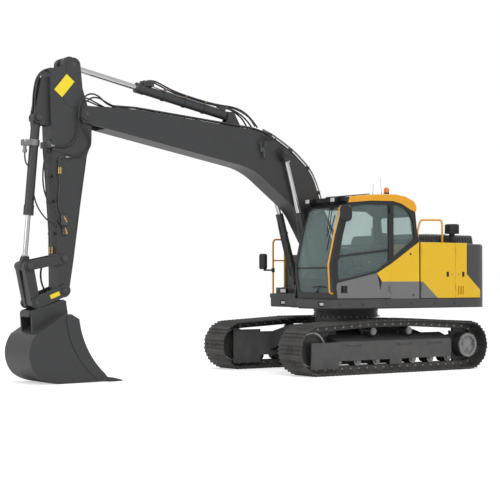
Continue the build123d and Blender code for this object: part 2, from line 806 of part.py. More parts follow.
# Service doors: two behind the cab and one over the pumps on the right
front_door = (
    (house_front_x - panel_gap, door_low),
    (house_front_x - panel_gap, house_high),
    (door_split_x + panel_gap / 2, house_high),
    (door_split_x + panel_gap / 2, door_low),
)
rear_door = (
    (door_split_x - panel_gap / 2, door_low),
    (door_split_x - panel_gap / 2, house_high),
    (weight_front_x + 10, house_high),
    (weight_front_x + 10, weight_bevel_z[0] + 2),
    (weight_low_x + 10, weight_bevel_z[1] + 1),
    (weight_low_x + 10, door_low),
)
for node, outline, sign, hinged in (
    ("service_door_front", front_door, 1, True),
    ("service_door_rear", rear_door, 1, True),
    ("pump_door", rear_door, -1, True),
    ("right_side_panel", front_door, -1, False),
):
    outer = sign * body_half
    inner = sign * (house_side + seat_gap)
    with BuildPart() as door:
        plate(outline, max(outer, inner), min(outer, inner))
        fillet(door.faces().sort_by(Axis.Y)[-1 if sign > 0 else 0].edges(), door_edge)
        # The inner front corner is round too, or it would catch on the post behind it
        door_back = door.faces().sort_by(Axis.Y)[0 if sign > 0 else -1]
        fillet(door_back.edges().filter_by(Axis.Z).sort_by(Axis.X)[-1], door_edge)
        hinge_x = outline[0][0] - hinge_back
        for hinge_z in hinge_heights if hinged else ():
            with BuildSketch(level(hinge_z - knuckle_half)):
                with Locations((hinge_x, outer + sign * hinge_out)):
                    Circle(knuckle_radius)
                with Locations((hinge_x - hinge_leaf / 2, outer)):
                    Rectangle(hinge_leaf, 2 * (hinge_out - knuckle_radius + 3))
            extrude(amount=2 * knuckle_half)
        for slot in range(vent_slots if outline is rear_door else 0):
            front_x = door_split_x - vent_from - slot * vent_pitch
            rear_x = front_x - vent_slot
            corners = ((front_x, vent_low), (front_x, vent_high), (rear_x, vent_high), (rear_x, vent_low))
            plate(corners, max(outer, inner) + 1, min(outer, inner) - 1, mode=Mode.SUBTRACT)
    door.part.label = node
    export_step(door.part, f"parts/{node}.step")

# Tanks and the tool box along the right-hand side
tank_left = boom_y - lift_y - 84
tank_right = -body_half
tank_middle = (tank_left + tank_right) / 2
tank_width = tank_left - tank_right
for node, rear_x, front_x, high in (
    ("hydraulic_tank", house_front_x + side_gap, -60, 2120),
    ("fuel_tank", -50, 430, 1990),
):
    with BuildPart() as tank:
        with BuildSketch(level(deck_high)):
            with Locations(((rear_x + front_x) / 2, tank_middle)):
                RectangleRounded(front_x - rear_x, tank_width, 60)
        extrude(amount=high - deck_high)
        fillet(tank.faces().sort_by(Axis.Z)[-1].edges(), 40)
    tank.part.label = node
    export_step(tank.part, f"parts/{node}.step")
step_front_x = deck_right_x - 6
box_profile = (
    (434, deck_high),
    (434, 1404),
    (600, 1404),
    (600, 1300),
    (step_front_x, 1300),
    (step_front_x, deck_high),
)
with BuildPart() as tool_box:
    plate(box_profile, tank_left, tank_right)
    fillet(tool_box.edges().filter_by(Axis.Y).filter_by(lambda edge: edge.center().Z > deck_high + 1), 10)
    # Ribs of the tread plates on both steps
    for step_rear, step_front, step_high in ((434, 600, 1404), (600, step_front_x, 1300)):
        with BuildSketch(level(step_high)):
            with Locations(((step_rear + step_front) / 2, tank_middle)):
                with GridLocations(36, 0, 3, 1):
                    Rectangle(10, tank_width - 220)
        extrude(amount=5)
tool_box.part.label = "tool_box"
export_step(tool_box.part, "parts/tool_box.step")

# Cab: a hollow frame with its panels, roof, panes, door and seat
cab_outline = (
    (cab_rear_x, cab_low),
    (cab_rear_x + 4, 2180),
    (-545, 2400),
    (-510, 2690),
    (-384, 2735),
    (-200, 2822),
    (-10, 2860),
    (457, 2852),
    (960, 2805),
    (1030, 2740),
    (1180, 2280),
    (1292, 1800),
    (1288, 1600),
    (1230, cab_low),
)
door_outline = (
    (door_rear_x + 3, cab_low + 14),
    (door_rear_x + 3, door_high),
    (457, door_high - 6),
    (930, door_high - 52),
    (1000, 2660),
    (1118, 2280),
    (1226, 1800),
    (1222, 1600),
    (1172, cab_low + 14),
)
door_window = (
    (door_rear_x + 52, 1850),
    (door_rear_x + 52, door_high - 34),
    (457, door_high - 40),
    (894, door_high - 84),
    (950, 2630),
    (1058, 2270),
    (1166, 1800),
    (1162, 1600),
    (1128, 1535),
    (335, 1690),
)
quarter_window = ((-26, 1905), (-26, 2812), (-190, 2782), (-345, 2698), (-455, 2540), (-490, 2240))
right_window = (
    (-400, 1900),
    (-400, 2640),
    (-240, 2725),
    (900, 2725),
    (1120, 2250),
    (1210, 1800),
    (1200, 1560),
    (700, 1560),
)
screen_low = 1330.0
screen_high = 2730.0
screen_split = 1732.0
rear_window_low = 2240.0
rear_window_high = 2610.0
rear_post = 30.0
rear_round = 50.0
window_round = 90.0
pane_round = 26.0
cab_half_open = (body_half - cab_right) / 2 - cab_wall
cab_middle = (body_half + cab_right) / 2


def rounded(outline, radius, inset=0):
    """A side-view outline with its corners rounded, drawn in by a distance."""
    Polygon(*outline, align=None)
    if inset:
        offset(amount=-inset, kind=Kind.INTERSECTION)
    fillet(vertices(), radius - inset)


def cab_room(inset):
    """The cab's side-view face drawn in by a distance."""
    with BuildSketch(side(0)) as face:
        Polygon(*cab_outline, align=None)
        if inset:
            offset(amount=-inset, kind=Kind.INTERSECTION)
    return face.sketch


def cab_slab(inset, near, far, mode=Mode.ADD):
    """The cab's side-view face, drawn in by a distance, as a solid from near to far."""
    extrude(cab_room(inset).moved(Location((0, near, 0))), amount=near - far, mode=mode)


with BuildPart() as cab_shell:
    cab_slab(0, body_half, cab_right)
    cab_slab(cab_wall, body_half - cab_wall, cab_right + cab_wall, Mode.SUBTRACT)
    with BuildSketch(side(body_half + 1)):
        Polygon(*door_outline, align=None)
        offset(amount=3, kind=Kind.INTERSECTION)
    extrude(amount=cab_wall + 2, mode=Mode.SUBTRACT)
    for outline, near in ((quarter_window, body_half + 1), (right_window, cab_right + cab_wall + 1)):
        with BuildSketch(side(near)) as opening:
            rounded(outline, pane_round)
        extrude(opening.sketch, amount=cab_wall + 2, mode=Mode.SUBTRACT)
    with BuildSketch(front(900)):
        with Locations((cab_middle, (screen_low + screen_high) / 2)):
            RectangleRounded(2 * cab_half_open, screen_high - screen_low, window_round)
    extrude(amount=500, mode=Mode.SUBTRACT)
    with BuildSketch(front(cab_rear_x - 10)):
        with Locations((cab_middle, (rear_window_low + rear_window_high) / 2)):
            RectangleRounded(2 * (cab_half_open - rear_post), rear_window_high - rear_window_low, rear_round)
    extrude(amount=220, mode=Mode.SUBTRACT)
    with BuildSketch(level(deck_high)):
        for mount_x in cab_mount_xs:
            for mount_y in (cab_right + 110, body_half - 110):
                with Locations((mount_x, mount_y)):
                    Circle(70)
    extrude(amount=cab_low - deck_high)
cab_shell.part.label = "cab_shell"
export_step(cab_shell.part, "parts/cab_shell.step")

pane_inset = 16.0
with BuildPart() as screen:
    cab_slab(pane_inset, body_half, cab_right)
    cab_slab(pane_inset + glass_thickness, body_half, cab_right, Mode.SUBTRACT)
    with BuildSketch(front(900)):
        with Locations((cab_middle, (screen_low + screen_high) / 2)):
            RectangleRounded(
                2 * (cab_half_open - seat_gap),
                screen_high - screen_low - 2 * seat_gap,
                window_round - seat_gap,
            )
        with Locations((cab_middle, screen_split)):
            Rectangle(2 * cab_half_open, 8, mode=Mode.SUBTRACT)
    extrude(amount=500, mode=Mode.INTERSECT)
with BuildPart() as rear_pane:
    cab_slab(pane_inset, body_half, cab_right)
    cab_slab(pane_inset + glass_thickness, body_half, cab_right, Mode.SUBTRACT)
    with BuildSketch(front(cab_rear_x - 10)):
        with Locations((cab_middle, (rear_window_low + rear_window_high) / 2)):
            RectangleRounded(
                2 * (cab_half_open - rear_post - seat_gap),
                rear_window_high - rear_window_low - 2 * seat_gap,
                rear_round - seat_gap,
            )
    extrude(amount=200, mode=Mode.INTERSECT)
with BuildPart() as cab_glass:
    add(screen.part)
    add(rear_pane.part)
    for outline, outer in ((quarter_window, body_half), (right_window, cab_right + cab_wall)):
        with BuildSketch(side(outer - (cab_wall - glass_thickness) / 2)) as pane:
            rounded(outline, pane_round, seat_gap)
        extrude(pane.sketch, amount=glass_thickness)
cab_glass.part.label = "cab_glass"
export_step(cab_glass.part, "parts/cab_glass.step")

# Columns: the roof's side view, from its rear lip over the top to the visor, then back along the cab
roof_outline = (
    (-530, 2702),
    (-530, 2790),
    (-470, 2880),
    (-300, 2950),
    (-70, 2979),
    (365, 2963),
    (1000, 2900),
    (1010, 2830),
    *((x, z + seat_gap) for x, z in cab_outline[8:2:-1]),
    (cab_outline[3][0] - 8, 2702),
)
roof_edge = 26.0
roof_side = 6.0  # the roof stands proud of the cab's left side by this
visor_x = (872.0, 800.0)  # the visor's rear edge, at the roof's foot and top
with BuildPart() as cab_roof:
    plate(roof_outline, body_half + roof_side, cab_right)
    upper_edges = cab_roof.edges().filter_by(lambda edge: edge.center().Z > 2890)
    fillet(upper_edges.filter_by(Axis.Y, reverse=True), roof_edge)
    # A groove where the front visor meets the roof shell
    with BuildSketch(side(body_half + 2 * roof_side)) as groove:
        Polygon(
            (visor_x[0], 2780),
            (visor_x[0] + 5, 2780),
            (visor_x[1] + 5, 3000),
            (visor_x[1], 3000),
            align=None,
        )
    extrude(groove.sketch, amount=body_half - cab_right + 3 * roof_side, mode=Mode.SUBTRACT)
    roof_core = ((700, 2838), (700, 2896), (940, 2880), (940, 2814))
    plate(roof_core, body_half - roof_side, cab_right + 2 * roof_side)
cab_roof.part.label = "cab_roof"
export_step(cab_roof.part, "parts/cab_roof.step")

door_face = body_half - cab_door_thickness
belt_bar = ((door_rear_x + 56, 2054), (door_rear_x + 56, 2022), (1156, 1904), (1156, 1936))
with BuildPart() as cab_door:
    plate(door_outline, body_half, door_face)
    with BuildSketch(side(body_half)) as opening:
        rounded(door_window, pane_round)
    extrude(opening.sketch, amount=cab_door_thickness, mode=Mode.SUBTRACT)
    # A recess for the handle, with its bar across
    with BuildSketch(side(body_half)):
        with Locations(handle_place):
            RectangleRounded(*handle_size, 16)
    extrude(amount=handle_deep, mode=Mode.SUBTRACT)
    with BuildSketch(side(body_half - handle_gap)):
        with Locations(handle_place):
            Rectangle(handle_bar, handle_size[1])
    extrude(amount=handle_gap)
    plate(belt_bar, body_half - 8, door_face + 4)
    for hinge_z in (cab_low + 160, door_high - 130):
        with BuildSketch(level(hinge_z - 50)):
            with Locations((door_rear_x + 4, hinge_y)):
                Circle(14)
            with Locations((door_rear_x + 24, (hinge_y + body_half) / 2)):
                Rectangle(40, hinge_y - body_half + 12)
        extrude(amount=100)
cab_door.part.label = "cab_door"
export_step(cab_door.part, "parts/cab_door.step")

with BuildSketch(side(body_half - cab_door_thickness / 2)) as belt_slot:
    Polygon(*belt_bar, align=None)
    offset(amount=seat_gap, kind=Kind.INTERSECTION)
with BuildPart() as door_glass:
    with BuildSketch(side(body_half - cab_door_thickness / 2)) as pane:
        rounded(door_window, pane_round, seat_gap)
    extrude(pane.sketch, amount=glass_thickness)
    extrude(belt_slot.sketch, amount=glass_thickness, mode=Mode.SUBTRACT)
door_glass.part.label = "door_glass"
export_step(door_glass.part, "parts/door_glass.step")

seat_x = 130.0
seat_half = 250.0
seat_low = 330.0  # the cushion's underside over the cab's floor
cushion_thick = 130.0
console_y = (body_half - cab_right) / 2 - cab_wall - 129
console_half = 50.0
stick_high = 170.0
cab_floor = cab_low + cab_wall
cushion_top = cab_floor + seat_low + cushion_thick
with BuildPart() as operator_seat:
    with BuildSketch(level(cab_floor)):
        with Locations((seat_x, cab_middle)):
            RectangleRounded(420, 380, 50)
    extrude(amount=seat_low)
    with BuildSketch(level(cab_floor + seat_low)):
        with Locations((seat_x + 20, cab_middle)):
            RectangleRounded(520, 2 * seat_half, 80)
    extrude(amount=cushion_thick)
    plate(
        (
            (seat_x - 280, cushion_top - 30),
            (seat_x - 190, cushion_top - 30),
            (seat_x - 280, cushion_top + 600),
            (seat_x - 360, cushion_top + 600),
        ),
        cab_middle + seat_half - 10,
        cab_middle - seat_half + 10,
    )
    for sign in (1, -1):
        middle = cab_middle + sign * console_y
        plate(
            (
                (seat_x - 190, cushion_top - 60),
                (seat_x + 350, cushion_top - 60),
                (seat_x + 350, cushion_top + 40),
                (seat_x + 290, cushion_top + 90),
                (seat_x - 190, cushion_top + 90),
            ),
            middle + console_half,
            middle - console_half,
        )
        with BuildSketch(level(cab_floor + seat_low)):
            with Locations((seat_x - 60, cab_middle + sign * (console_y + seat_half) / 2)):
                Rectangle(200, console_y - seat_half + 40)
        extrude(amount=cushion_thick - 10)
        with BuildSketch(level(cushion_top + 80)):
            with Locations((seat_x + 290, middle)):
                Circle(20)
        extrude(amount=stick_high)
operator_seat.part.label = "operator_seat"
export_step(operator_seat.part, "parts/operator_seat.step")


# Rails, mirrors, lamps and stacks on the upper
def rail(points, y, radius, bend):
    """A bent round bar through side-view places at y."""
    with BuildLine(side(y)) as route:
        FilletPolyline(*points, radius=bend)
    path = route.wire()
    with BuildSketch(Plane(origin=path @ 0, z_dir=path % 0)) as section:
        Circle(radius)
    sweep(section.sketch, path=path)


rail_radius = 17.0
rail_bend = 70.0
hood_rail_y = body_half - 145
hood_rail_front = -690.0
hood_rail_rear = house_front_x + 0.576 * (weight_front_x - house_front_x)
hood_rail_line = (
    (hood_rail_rear, house_high),
    (hood_rail_rear, house_high + 398),
    (hood_rail_front - 70, house_high + 386),
    (hood_rail_front, house_high + 198),
    (hood_rail_front, house_high),
)
with BuildPart() as hood_rail:
    rail(hood_rail_line, hood_rail_y, rail_radius, rail_bend)
    for foot in (hood_rail_line[0], hood_rail_line[-1]):
        with BuildSketch(level(house_high)):
            with Locations((foot[0], hood_rail_y)):
                RectangleRounded(90, 70, 12)
        extrude(amount=8)
hood_rail.part.label = "hood_rail"
export_step(hood_rail.part, "parts/hood_rail.step")

# The right-hand rail stands over the steps, the middle one beside the tank's front
step_rail_y = 65 - body_half
step_rail_front = 712.0
step_rail_rear = 456.0
step_rail_high = 2265.0
step_rail_middle = 1888.0
inner_rail_y = tank_left - 60
inner_rail_high = 2300.0
outer_rail_line = (
    (step_rail_front, 1300),
    (step_rail_front, step_rail_high),
    (step_rail_rear + 54, step_rail_high),
    (step_rail_rear, step_rail_high - 115),
    (step_rail_rear, 1404),
)
with BuildPart() as step_rails:
    rail(outer_rail_line, step_rail_y, rail_radius, rail_bend)
    cross_start = (step_rail_front - 4, step_rail_middle)
    tube(cross_start, (step_rail_rear + 4, step_rail_middle), step_rail_y, rail_radius - 4)
    inner_rail_line = ((400, 1990), (400, inner_rail_high), (-20, inner_rail_high), (-20, 1990))
    rail(inner_rail_line, inner_rail_y, rail_radius, rail_bend)
step_rails.part.label = "step_rails"
export_step(step_rails.part, "parts/step_rails.step")

cab_rail_radius = 13.0
cab_rail_y = body_half - cab_wall / 2
cab_rail_line = ((1040.4, 2722), (1110, 2722), (1344, 1790), (1318, 1320), (1247, 1320))
with BuildPart() as cab_rail:
    rail(cab_rail_line, cab_rail_y, cab_rail_radius, 45)
cab_rail.part.label = "cab_rail"
export_step(cab_rail.part, "parts/cab_rail.step")

# Mirrors: one ahead of the cab door, one outside the right-hand rail
mirror_deep = 60.0
mirror_round = 40.0
left_mirror = (1130.0, body_half + 165, 2620.0)
mirror_turn = 35.0  # the left mirror's back turns outward by this
right_mirror = (830.0, -body_half - 85, 1870.0)
left_arm_z = left_mirror[2] + 100
right_arm_z = 1700.0
with BuildPart() as mirrors:
    for place, wide, high, turn in ((left_mirror, 190, 272, mirror_turn), (right_mirror, 180, 280, 0)):
        facing = Vector(cos(radians(turn)), sin(radians(turn)), 0)
        middle = Vector(slew_x + place[0], place[1], place[2])
        sideways = (-facing.Y, facing.X, 0)
        with BuildSketch(Plane(origin=middle - facing * mirror_deep / 2, x_dir=sideways, z_dir=facing)):
            RectangleRounded(wide, high, mirror_round * 2 if turn else mirror_round)
        extrude(amount=mirror_deep)
        back = mirrors.faces().sort_by_distance(middle + facing * mirror_deep / 2)[0]
        fillet(back.edges(), mirror_deep / 3)
    # Left arm, from a foot on the cab's corner post
    arm_root = body_half + 1
    with BuildSketch(level(left_arm_z)):
        Polygon(
            (1000, arm_root),
            (1000, arm_root + 20),
            (1100, left_mirror[1] + 10),
            (1125, left_mirror[1]),
            (1040, arm_root),
            align=None,
        )
    extrude(amount=24)
    foot = ((960, left_arm_z), (960, left_arm_z + 24), (1040, left_arm_z + 24), (1040, left_arm_z))
    plate(foot, body_half + 22, body_half + seat_gap)
    # Right arm, bent up from a clamp on the rail to the mirror's foot
    with BuildSketch(level(right_arm_z)):
        Polygon(
            (step_rail_front + 20, step_rail_y - 12),
            (step_rail_front + 26, step_rail_y + 8),
            (815, step_rail_y - 60),
            (845, right_mirror[1] + 40),
            (815, right_mirror[1] + 20),
            align=None,
        )
    extrude(amount=30)
    with BuildSketch(level(right_arm_z - 20)):
        with Locations((step_rail_front, step_rail_y)):
            Circle(rail_radius + 12)
            Circle(rail_radius + seat_gap, mode=Mode.SUBTRACT)
    extrude(amount=rail_bend)
mirrors.part.label = "mirrors"
export_step(mirrors.part, "parts/mirrors.step")

# Lamps: two ahead of the roof, one behind it, one on the tool box and one in each of the deck's fronts
lamp_size = (70.0, 130.0, 90.0)
lamp_round = 20.0
roof_lamp_x = 1055.0
roof_lamp_z = 2856.0
roof_lamp_ys = (cab_right + 73, body_half - 235)
roof_front_x = 1009.0
rear_lamp_y = cab_middle + 60
with BuildPart() as work_lamps:
    for lamp_y in roof_lamp_ys:
        with BuildSketch(front(roof_lamp_x - lamp_size[0] / 2)):
            with Locations((lamp_y, roof_lamp_z)):
                RectangleRounded(lamp_size[1], lamp_size[2], lamp_round)
        extrude(amount=lamp_size[0])
        with BuildSketch(front(roof_front_x)):
            with Locations((lamp_y, roof_lamp_z)):
                Rectangle(30, 24)
        extrude(amount=30)
    plate(((-645, 2860), (-645, 2940), (-575, 2950), (-575, 2850)), rear_lamp_y, rear_lamp_y - 120)
    # Its bracket lies on the roof's slope
    rear_foot = ((-580, 2878), (-580, 2902), (-418, 2902), (-470.5, 2880.4), (-471.8, 2878))
    plate(rear_foot, rear_lamp_y - 45, rear_lamp_y - 75)
    with BuildSketch(front(deck_right_x - 60)):
        with Locations((tank_middle, 1350)):
            RectangleRounded(180, 90, lamp_round)
    extrude(amount=50)
    for front_x, lamp_y in deck_pockets:
        with BuildSketch(front(front_x - deck_pocket_deep)):
            with Locations((lamp_y, (deck_low + deck_high) / 2)):
                RectangleRounded(deck_pocket[0] - 30, deck_pocket[1] - 24, 12)
        extrude(amount=deck_pocket_deep - 8)
work_lamps.part.label = "work_lamps"
export_step(work_lamps.part, "parts/work_lamps.step")

beacon_place = (-168.0, cab_middle + 149)
beacon_seat = 2946.0
with BuildPart() as beacon:
    for low, high, radius in ((beacon_seat, 3020, 52), (3020, 3120, 44)):
        with BuildSketch(level(low)):
            with Locations(beacon_place):
                Circle(radius)
        extrude(amount=high - low)
    fillet(beacon.faces().sort_by(Axis.Z)[-1].edges(), 20)
    add(cab_roof.part, mode=Mode.SUBTRACT)
beacon.part.label = "beacon"
export_step(beacon.part, "parts/beacon.step")

cleaner_place = (weight_front_x + 122, body_half - 260)
cleaner_low = 2350.0
cleaner_high = 2520.0
cleaner_radius = 126.0
with BuildPart() as air_pre_cleaner:
    with BuildSketch(level(house_high)):
        with Locations(cleaner_place):
            Circle(50)
    extrude(amount=cleaner_low - house_high)
    with BuildSketch(level(cleaner_low)):
        with Locations(cleaner_place):
            Circle(cleaner_radius)
    extrude(amount=cleaner_high - cleaner_low)
    fillet(air_pre_cleaner.faces().sort_by(Axis.Z)[-1].edges(), 30)
    # Vanes round the cap's foot
    with BuildSketch(level(cleaner_low)):
        with Locations(cleaner_place):
            with PolarLocations(cleaner_radius, 16):
                Rectangle(24, 12)
    extrude(amount=70, mode=Mode.SUBTRACT)
air_pre_cleaner.part.label = "air_pre_cleaner"
export_step(air_pre_cleaner.part, "parts/air_pre_cleaner.step")
stack_place = (weight_front_x + 242, 270 - body_half)
stack_radius = 62.0
with BuildPart() as exhaust_stack:
    with BuildSketch(level(house_high)):
        with Locations(stack_place):
            Circle(stack_radius)
            Circle(stack_radius - 10, mode=Mode.SUBTRACT)
    extrude(amount=330)
exhaust_stack.part.label = "exhaust_stack"
export_step(exhaust_stack.part, "parts/exhaust_stack.step")

# Boom: a box section with flanges proud of its webs, narrow at the foot and forked at the nose
with BuildSketch(side(boom_y)) as boom_face:
    with BuildLine():
        top = (
            touch(boom_crest, boom_tip, boss_tip, 1),
            boom_crest,
            boom_bend,
            boom_knee,
            boom_rear,
            touch(boom_rear, boom_foot, boss_foot, -1),
        )
        FilletPolyline(*top, radius=boom_bends[::-1])
        belly = (
            touch(belly_rear, boom_foot, boss_foot, 1),
            belly_rear,
            belly_front,
            touch(belly_front, boom_tip, boss_tip, -1),
        )
        FilletPolyline(*belly, radius=(900, 1200))
        Line(top[-1], belly[0])
        Line(belly[-1], top[0])
    make_face()
    for place, radius in ((boom_tip, boss_tip), (boom_foot, boss_foot)):
        with Locations(place):
            Circle(radius)
boom_web = boom_half - boom_rim
with BuildPart() as boom:
    extrude(boom_face.sketch, amount=boom_half, both=True)
    for sign in (1, -1):
        with BuildSketch(side(boom_y + sign * (boom_half + boom_web) / 2)) as web:
            add(boom_face.sketch.moved(Location((0, sign * (boom_half + boom_web) / 2, 0))))
            offset(amount=-boom_rim, kind=Kind.INTERSECTION)
        extrude(web.sketch, amount=boom_rim / 2, both=True, mode=Mode.SUBTRACT)
    for near, far in ((boom_half + 1, foot_half), (-foot_half, -boom_half - 1)):
        bar(boom_foot, boom_y + near, boom_y + far, foot_clear, Mode.SUBTRACT)
    # Nose fork
    fork_root = boom_tip[0] - boss_tip - fork_deep
    fork_end = boom_tip[0] + boss_tip + 1
    plate(
        (
            (fork_root, boom_tip[1] - 2 * boss_tip),
            (fork_root, boom_tip[1] + 2 * boss_tip),
            (fork_end, boom_tip[1] + 2 * boss_tip),
            (fork_end, boom_tip[1] - 2 * boss_tip),
        ),
        boom_y + fork_half,
        boom_y - fork_half,
        mode=Mode.SUBTRACT,
    )
    bar(boom_tip, boom_y + boom_half + 16, boom_y + fork_half, tip_disc)
    bar(boom_tip, boom_y - fork_half, boom_y - boom_half - 16, tip_disc)
    bar(boom_tip, boom_y + boom_half, boom_y - boom_half, pin_radius)
    bar(lift_eye, boom_y + lift_seat, boom_y - lift_seat, lift_disc)
    bar(boom_foot, boom_y + foot_half, boom_y - foot_half, pin_radius + seat_gap, Mode.SUBTRACT)
    # Ears for the arm cylinder
    for near in (eye_half + side_gap + ear_plate, -eye_half - side_gap):
        plate(
            ((stick_foot[0] - 330, 3990), stick_foot, (stick_foot[0] + 250, 4020)),
            boom_y + near,
            boom_y + near - ear_plate,
            ((stick_foot, 78),),
        )
        strap(stick_foot, 78, (stick_foot[0] - 60, 4010), 140, boom_y + near, boom_y + near - ear_plate)
    bar(stick_foot, boom_y + eye_half + side_gap, boom_y - eye_half - side_gap, pin_radius - 5)
boom.part.label = "boom"
export_step(boom.part, "parts/boom.step")

# Steel pipes in clamps along the boom's back
pipe_radius = 16.0
pipe_rise = 36.0
pipe_ys = (106.0, 146.0)
pipe_line = (
    along(boom_rear, top[-1], 430),
    boom_rear,
    boom_knee,
    boom_bend,
    boom_crest,
    along(boom_crest, top[0], 390),
)
clamp_half = 24.0
with BuildPart() as boom_pipes:
    for pipe_y in pipe_ys:
        for sign in (1, -1):
            route = parallel(pipe_line, pipe_rise)
            rail(route, boom_y + sign * pipe_y, pipe_radius, boom_bends)
    for start, end, distance in (
        (boom_rear, pipe_line[0], 380),
        (boom_knee, boom_bend, 320),
        (boom_bend, boom_crest, 420),
        (boom_bend, boom_crest, 1250),
        (boom_bend, boom_crest, 2050),
        (boom_crest, pipe_line[-1], 330),
    ):
        foot = (along(start, end, distance - clamp_half), along(start, end, distance + clamp_half))
        head = parallel(foot, pipe_rise * (-1 if start is boom_rear else 1))
        for near in (pipe_ys[1] + 20, 20 - pipe_ys[0]):
            plate((*foot, *reversed(head)), boom_y + near, boom_y + near - pipe_ys[1] + pipe_ys[0] - 40)
boom_pipes.part.label = "boom_pipes"
export_step(boom_pipes.part, "parts/boom_pipes.step")

# Arm: a tapering box section with ears for both cylinders
# Columns: the arm's front and rear edges in side view, from its head down to its foot
arm_front = ((5300, 4835), (5724, 4719), (5722, 4238), (5687, 3489), (5596, 2290), (5585, 1400))
arm_rear = ((5396, 1400), (5330, 1820), (5215, 2678), (5104, 3440), (5028, 3640), (5024, 3980), (5255, 4680))
arm_bends = (400, 900, 160, 130, 220)
web_front = (along(arm_front[4], arm_front[5], 100), arm_front[4], arm_front[3])
web_rear = (along(arm_rear[3], arm_rear[2], 60), arm_rear[2], along(arm_rear[2], arm_rear[1], 420))
web_outline = [(x - arm_edge, z) for x, z in web_front] + [(x + arm_edge, z) for x, z in web_rear]
with BuildSketch(side(boom_y)) as arm_face:
    with BuildLine():
        Polyline(*arm_front, arm_rear[0])
        FilletPolyline(*arm_rear, radius=arm_bends)
        Line(arm_rear[-1], arm_front[0])
    make_face()
    for place, radius in ((boom_tip, boss_tip), (stick_eye, 112), (guide_pin, 82), (bucket_pin, 104)):
        with Locations(place):
            Circle(radius)
    with Locations((stick_eye[0] + 65, stick_eye[1] + 10)):
        Circle(112)
with BuildPart() as arm:
    extrude(arm_face.sketch, amount=arm_half, both=True)
    # Between the cheeks the web lies deeper
    for near in (arm_half, arm_rim - arm_half):
        plate(web_outline, boom_y + near, boom_y + near - arm_rim, mode=Mode.SUBTRACT)
    # Round cheeks at the head, outside the fork of the boom
    for sign in (1, -1):
        outer = boom_y + sign * (arm_half + head_cheek)
        inner = boom_y + sign * (arm_half - head_cheek)
        strap(stick_eye, 112, head_disc, 172, max(outer, inner), min(outer, inner))
    # The rod's eye swings between the ears at the arm's head
    plate(
        ((5150, 4590), (5150, 5000), (5760, 5000), (5760, 4860), (5560, 4700), (5400, 4640)),
        boom_y + eye_half + side_gap,
        boom_y - eye_half - side_gap,
        mode=Mode.SUBTRACT,
    )
    bar(boom_tip, boom_y + fork_half - seat_gap, boom_y - fork_half + seat_gap, boss_tip)
    bar(boom_tip, boom_y + fork_half, boom_y - fork_half, pin_radius + seat_gap, Mode.SUBTRACT)
    bar(bucket_pin, boom_y + arm_half, boom_y - arm_half, pin_radius - 8 + seat_gap, Mode.SUBTRACT)
    for near in (eye_half + side_gap + ear_plate, -eye_half - side_gap):
        plate(
            ((5700, 4610), (5826, 4600), (5960, 3930), (5880, 3890), (5700, 3860)),
            boom_y + near,
            boom_y + near - ear_plate,
            ((curl_foot, 82),),
        )
    bar(curl_foot, boom_y + eye_half + side_gap, boom_y - eye_half - side_gap, pin_radius - 8)
    bar(guide_pin, boom_y + arm_half + side_gap, boom_y - arm_half - side_gap, 70)
arm.part.label = "arm"
export_step(arm.part, "parts/arm.step")


# Cylinders: each barrel turns on its base pin, and the rod's eye is left free of the pin it serves
def barrel(base, eye, y, length, radius, rod_radius, half, bore, gland_rim):
    """A cylinder's barrel with its base eye and gland, bored for the rod."""
    strap(base, eye_radius - 4, along(base, eye, eye_radius + 40), eye_radius - 22, y + half, y - half)
    tube(along(base, eye, eye_radius + 22), along(base, eye, length), y, radius)
    tube(along(base, eye, length - 150), along(base, eye, length), y, radius + gland_rim)
    bore_start = along(base, eye, eye_radius + 90)
    tube(bore_start, along(base, eye, length + 1), y, rod_radius + seat_gap, Mode.SUBTRACT)
    bar(base, y + half, y - half, bore + seat_gap, Mode.SUBTRACT)


def rod(base, eye, y, start, radius, half):
    """A cylinder's rod from inside its barrel to its eye."""
    tube(along(base, eye, start), along(eye, base, eye_radius - 30), y, radius)
    strap(eye, eye_radius, along(eye, base, eye_radius + 46), radius + 12, y + half, y - half)


lift_length = 1310.0
stick_length = 1810.0
curl_length = 1470.0
with BuildPart() as lift_barrels:
    for hand, sign in sides:
        middle = boom_y + sign * lift_y
        lift_pin = pin_radius - 5
        barrel(lift_foot, lift_eye, middle, lift_length, lift_barrel, lift_rod, lift_eye_half, lift_pin, 2)
        cap = middle + sign * (lift_eye_half + 6)
        bar(lift_foot, max(middle, cap), min(middle, cap), 58)
lift_barrels.part.label = "boom_cylinder_barrels"
export_step(lift_barrels.part, "parts/boom_cylinder_barrels.step")
with BuildPart() as lift_rods:
    for hand, sign in sides:
        middle = boom_y + sign * lift_y
        rod(lift_foot, lift_eye, middle, 780, lift_rod, lift_eye_half)
        cap = middle + sign * (lift_eye_half + 14)
        bar(lift_eye, max(middle, cap), min(middle, cap), 62)
lift_rods.part.label = "boom_cylinder_rods"
export_step(lift_rods.part, "parts/boom_cylinder_rods.step")
for node, base, eye, length, radius, rod_radius, bore, start in (
    ("arm_cylinder", stick_foot, stick_eye, stick_length, stick_barrel, stick_rod, pin_radius - 5, 1120),
    ("bucket_cylinder", curl_foot, link_pin, curl_length, curl_barrel, curl_rod, pin_radius - 8, 700),
):
    with BuildPart() as cylinder_barrel:
        barrel(base, eye, boom_y, length, radius, rod_radius, eye_half, bore, 8)
    cylinder_barrel.part.label = f"{node}_barrel"
    export_step(cylinder_barrel.part, f"parts/{node}_barrel.step")
    with BuildPart() as cylinder_rod:
        rod(base, eye, boom_y, start, rod_radius, eye_half)
    cylinder_rod.part.label = f"{node}_rod"
    export_step(cylinder_rod.part, f"parts/{node}_rod.step")

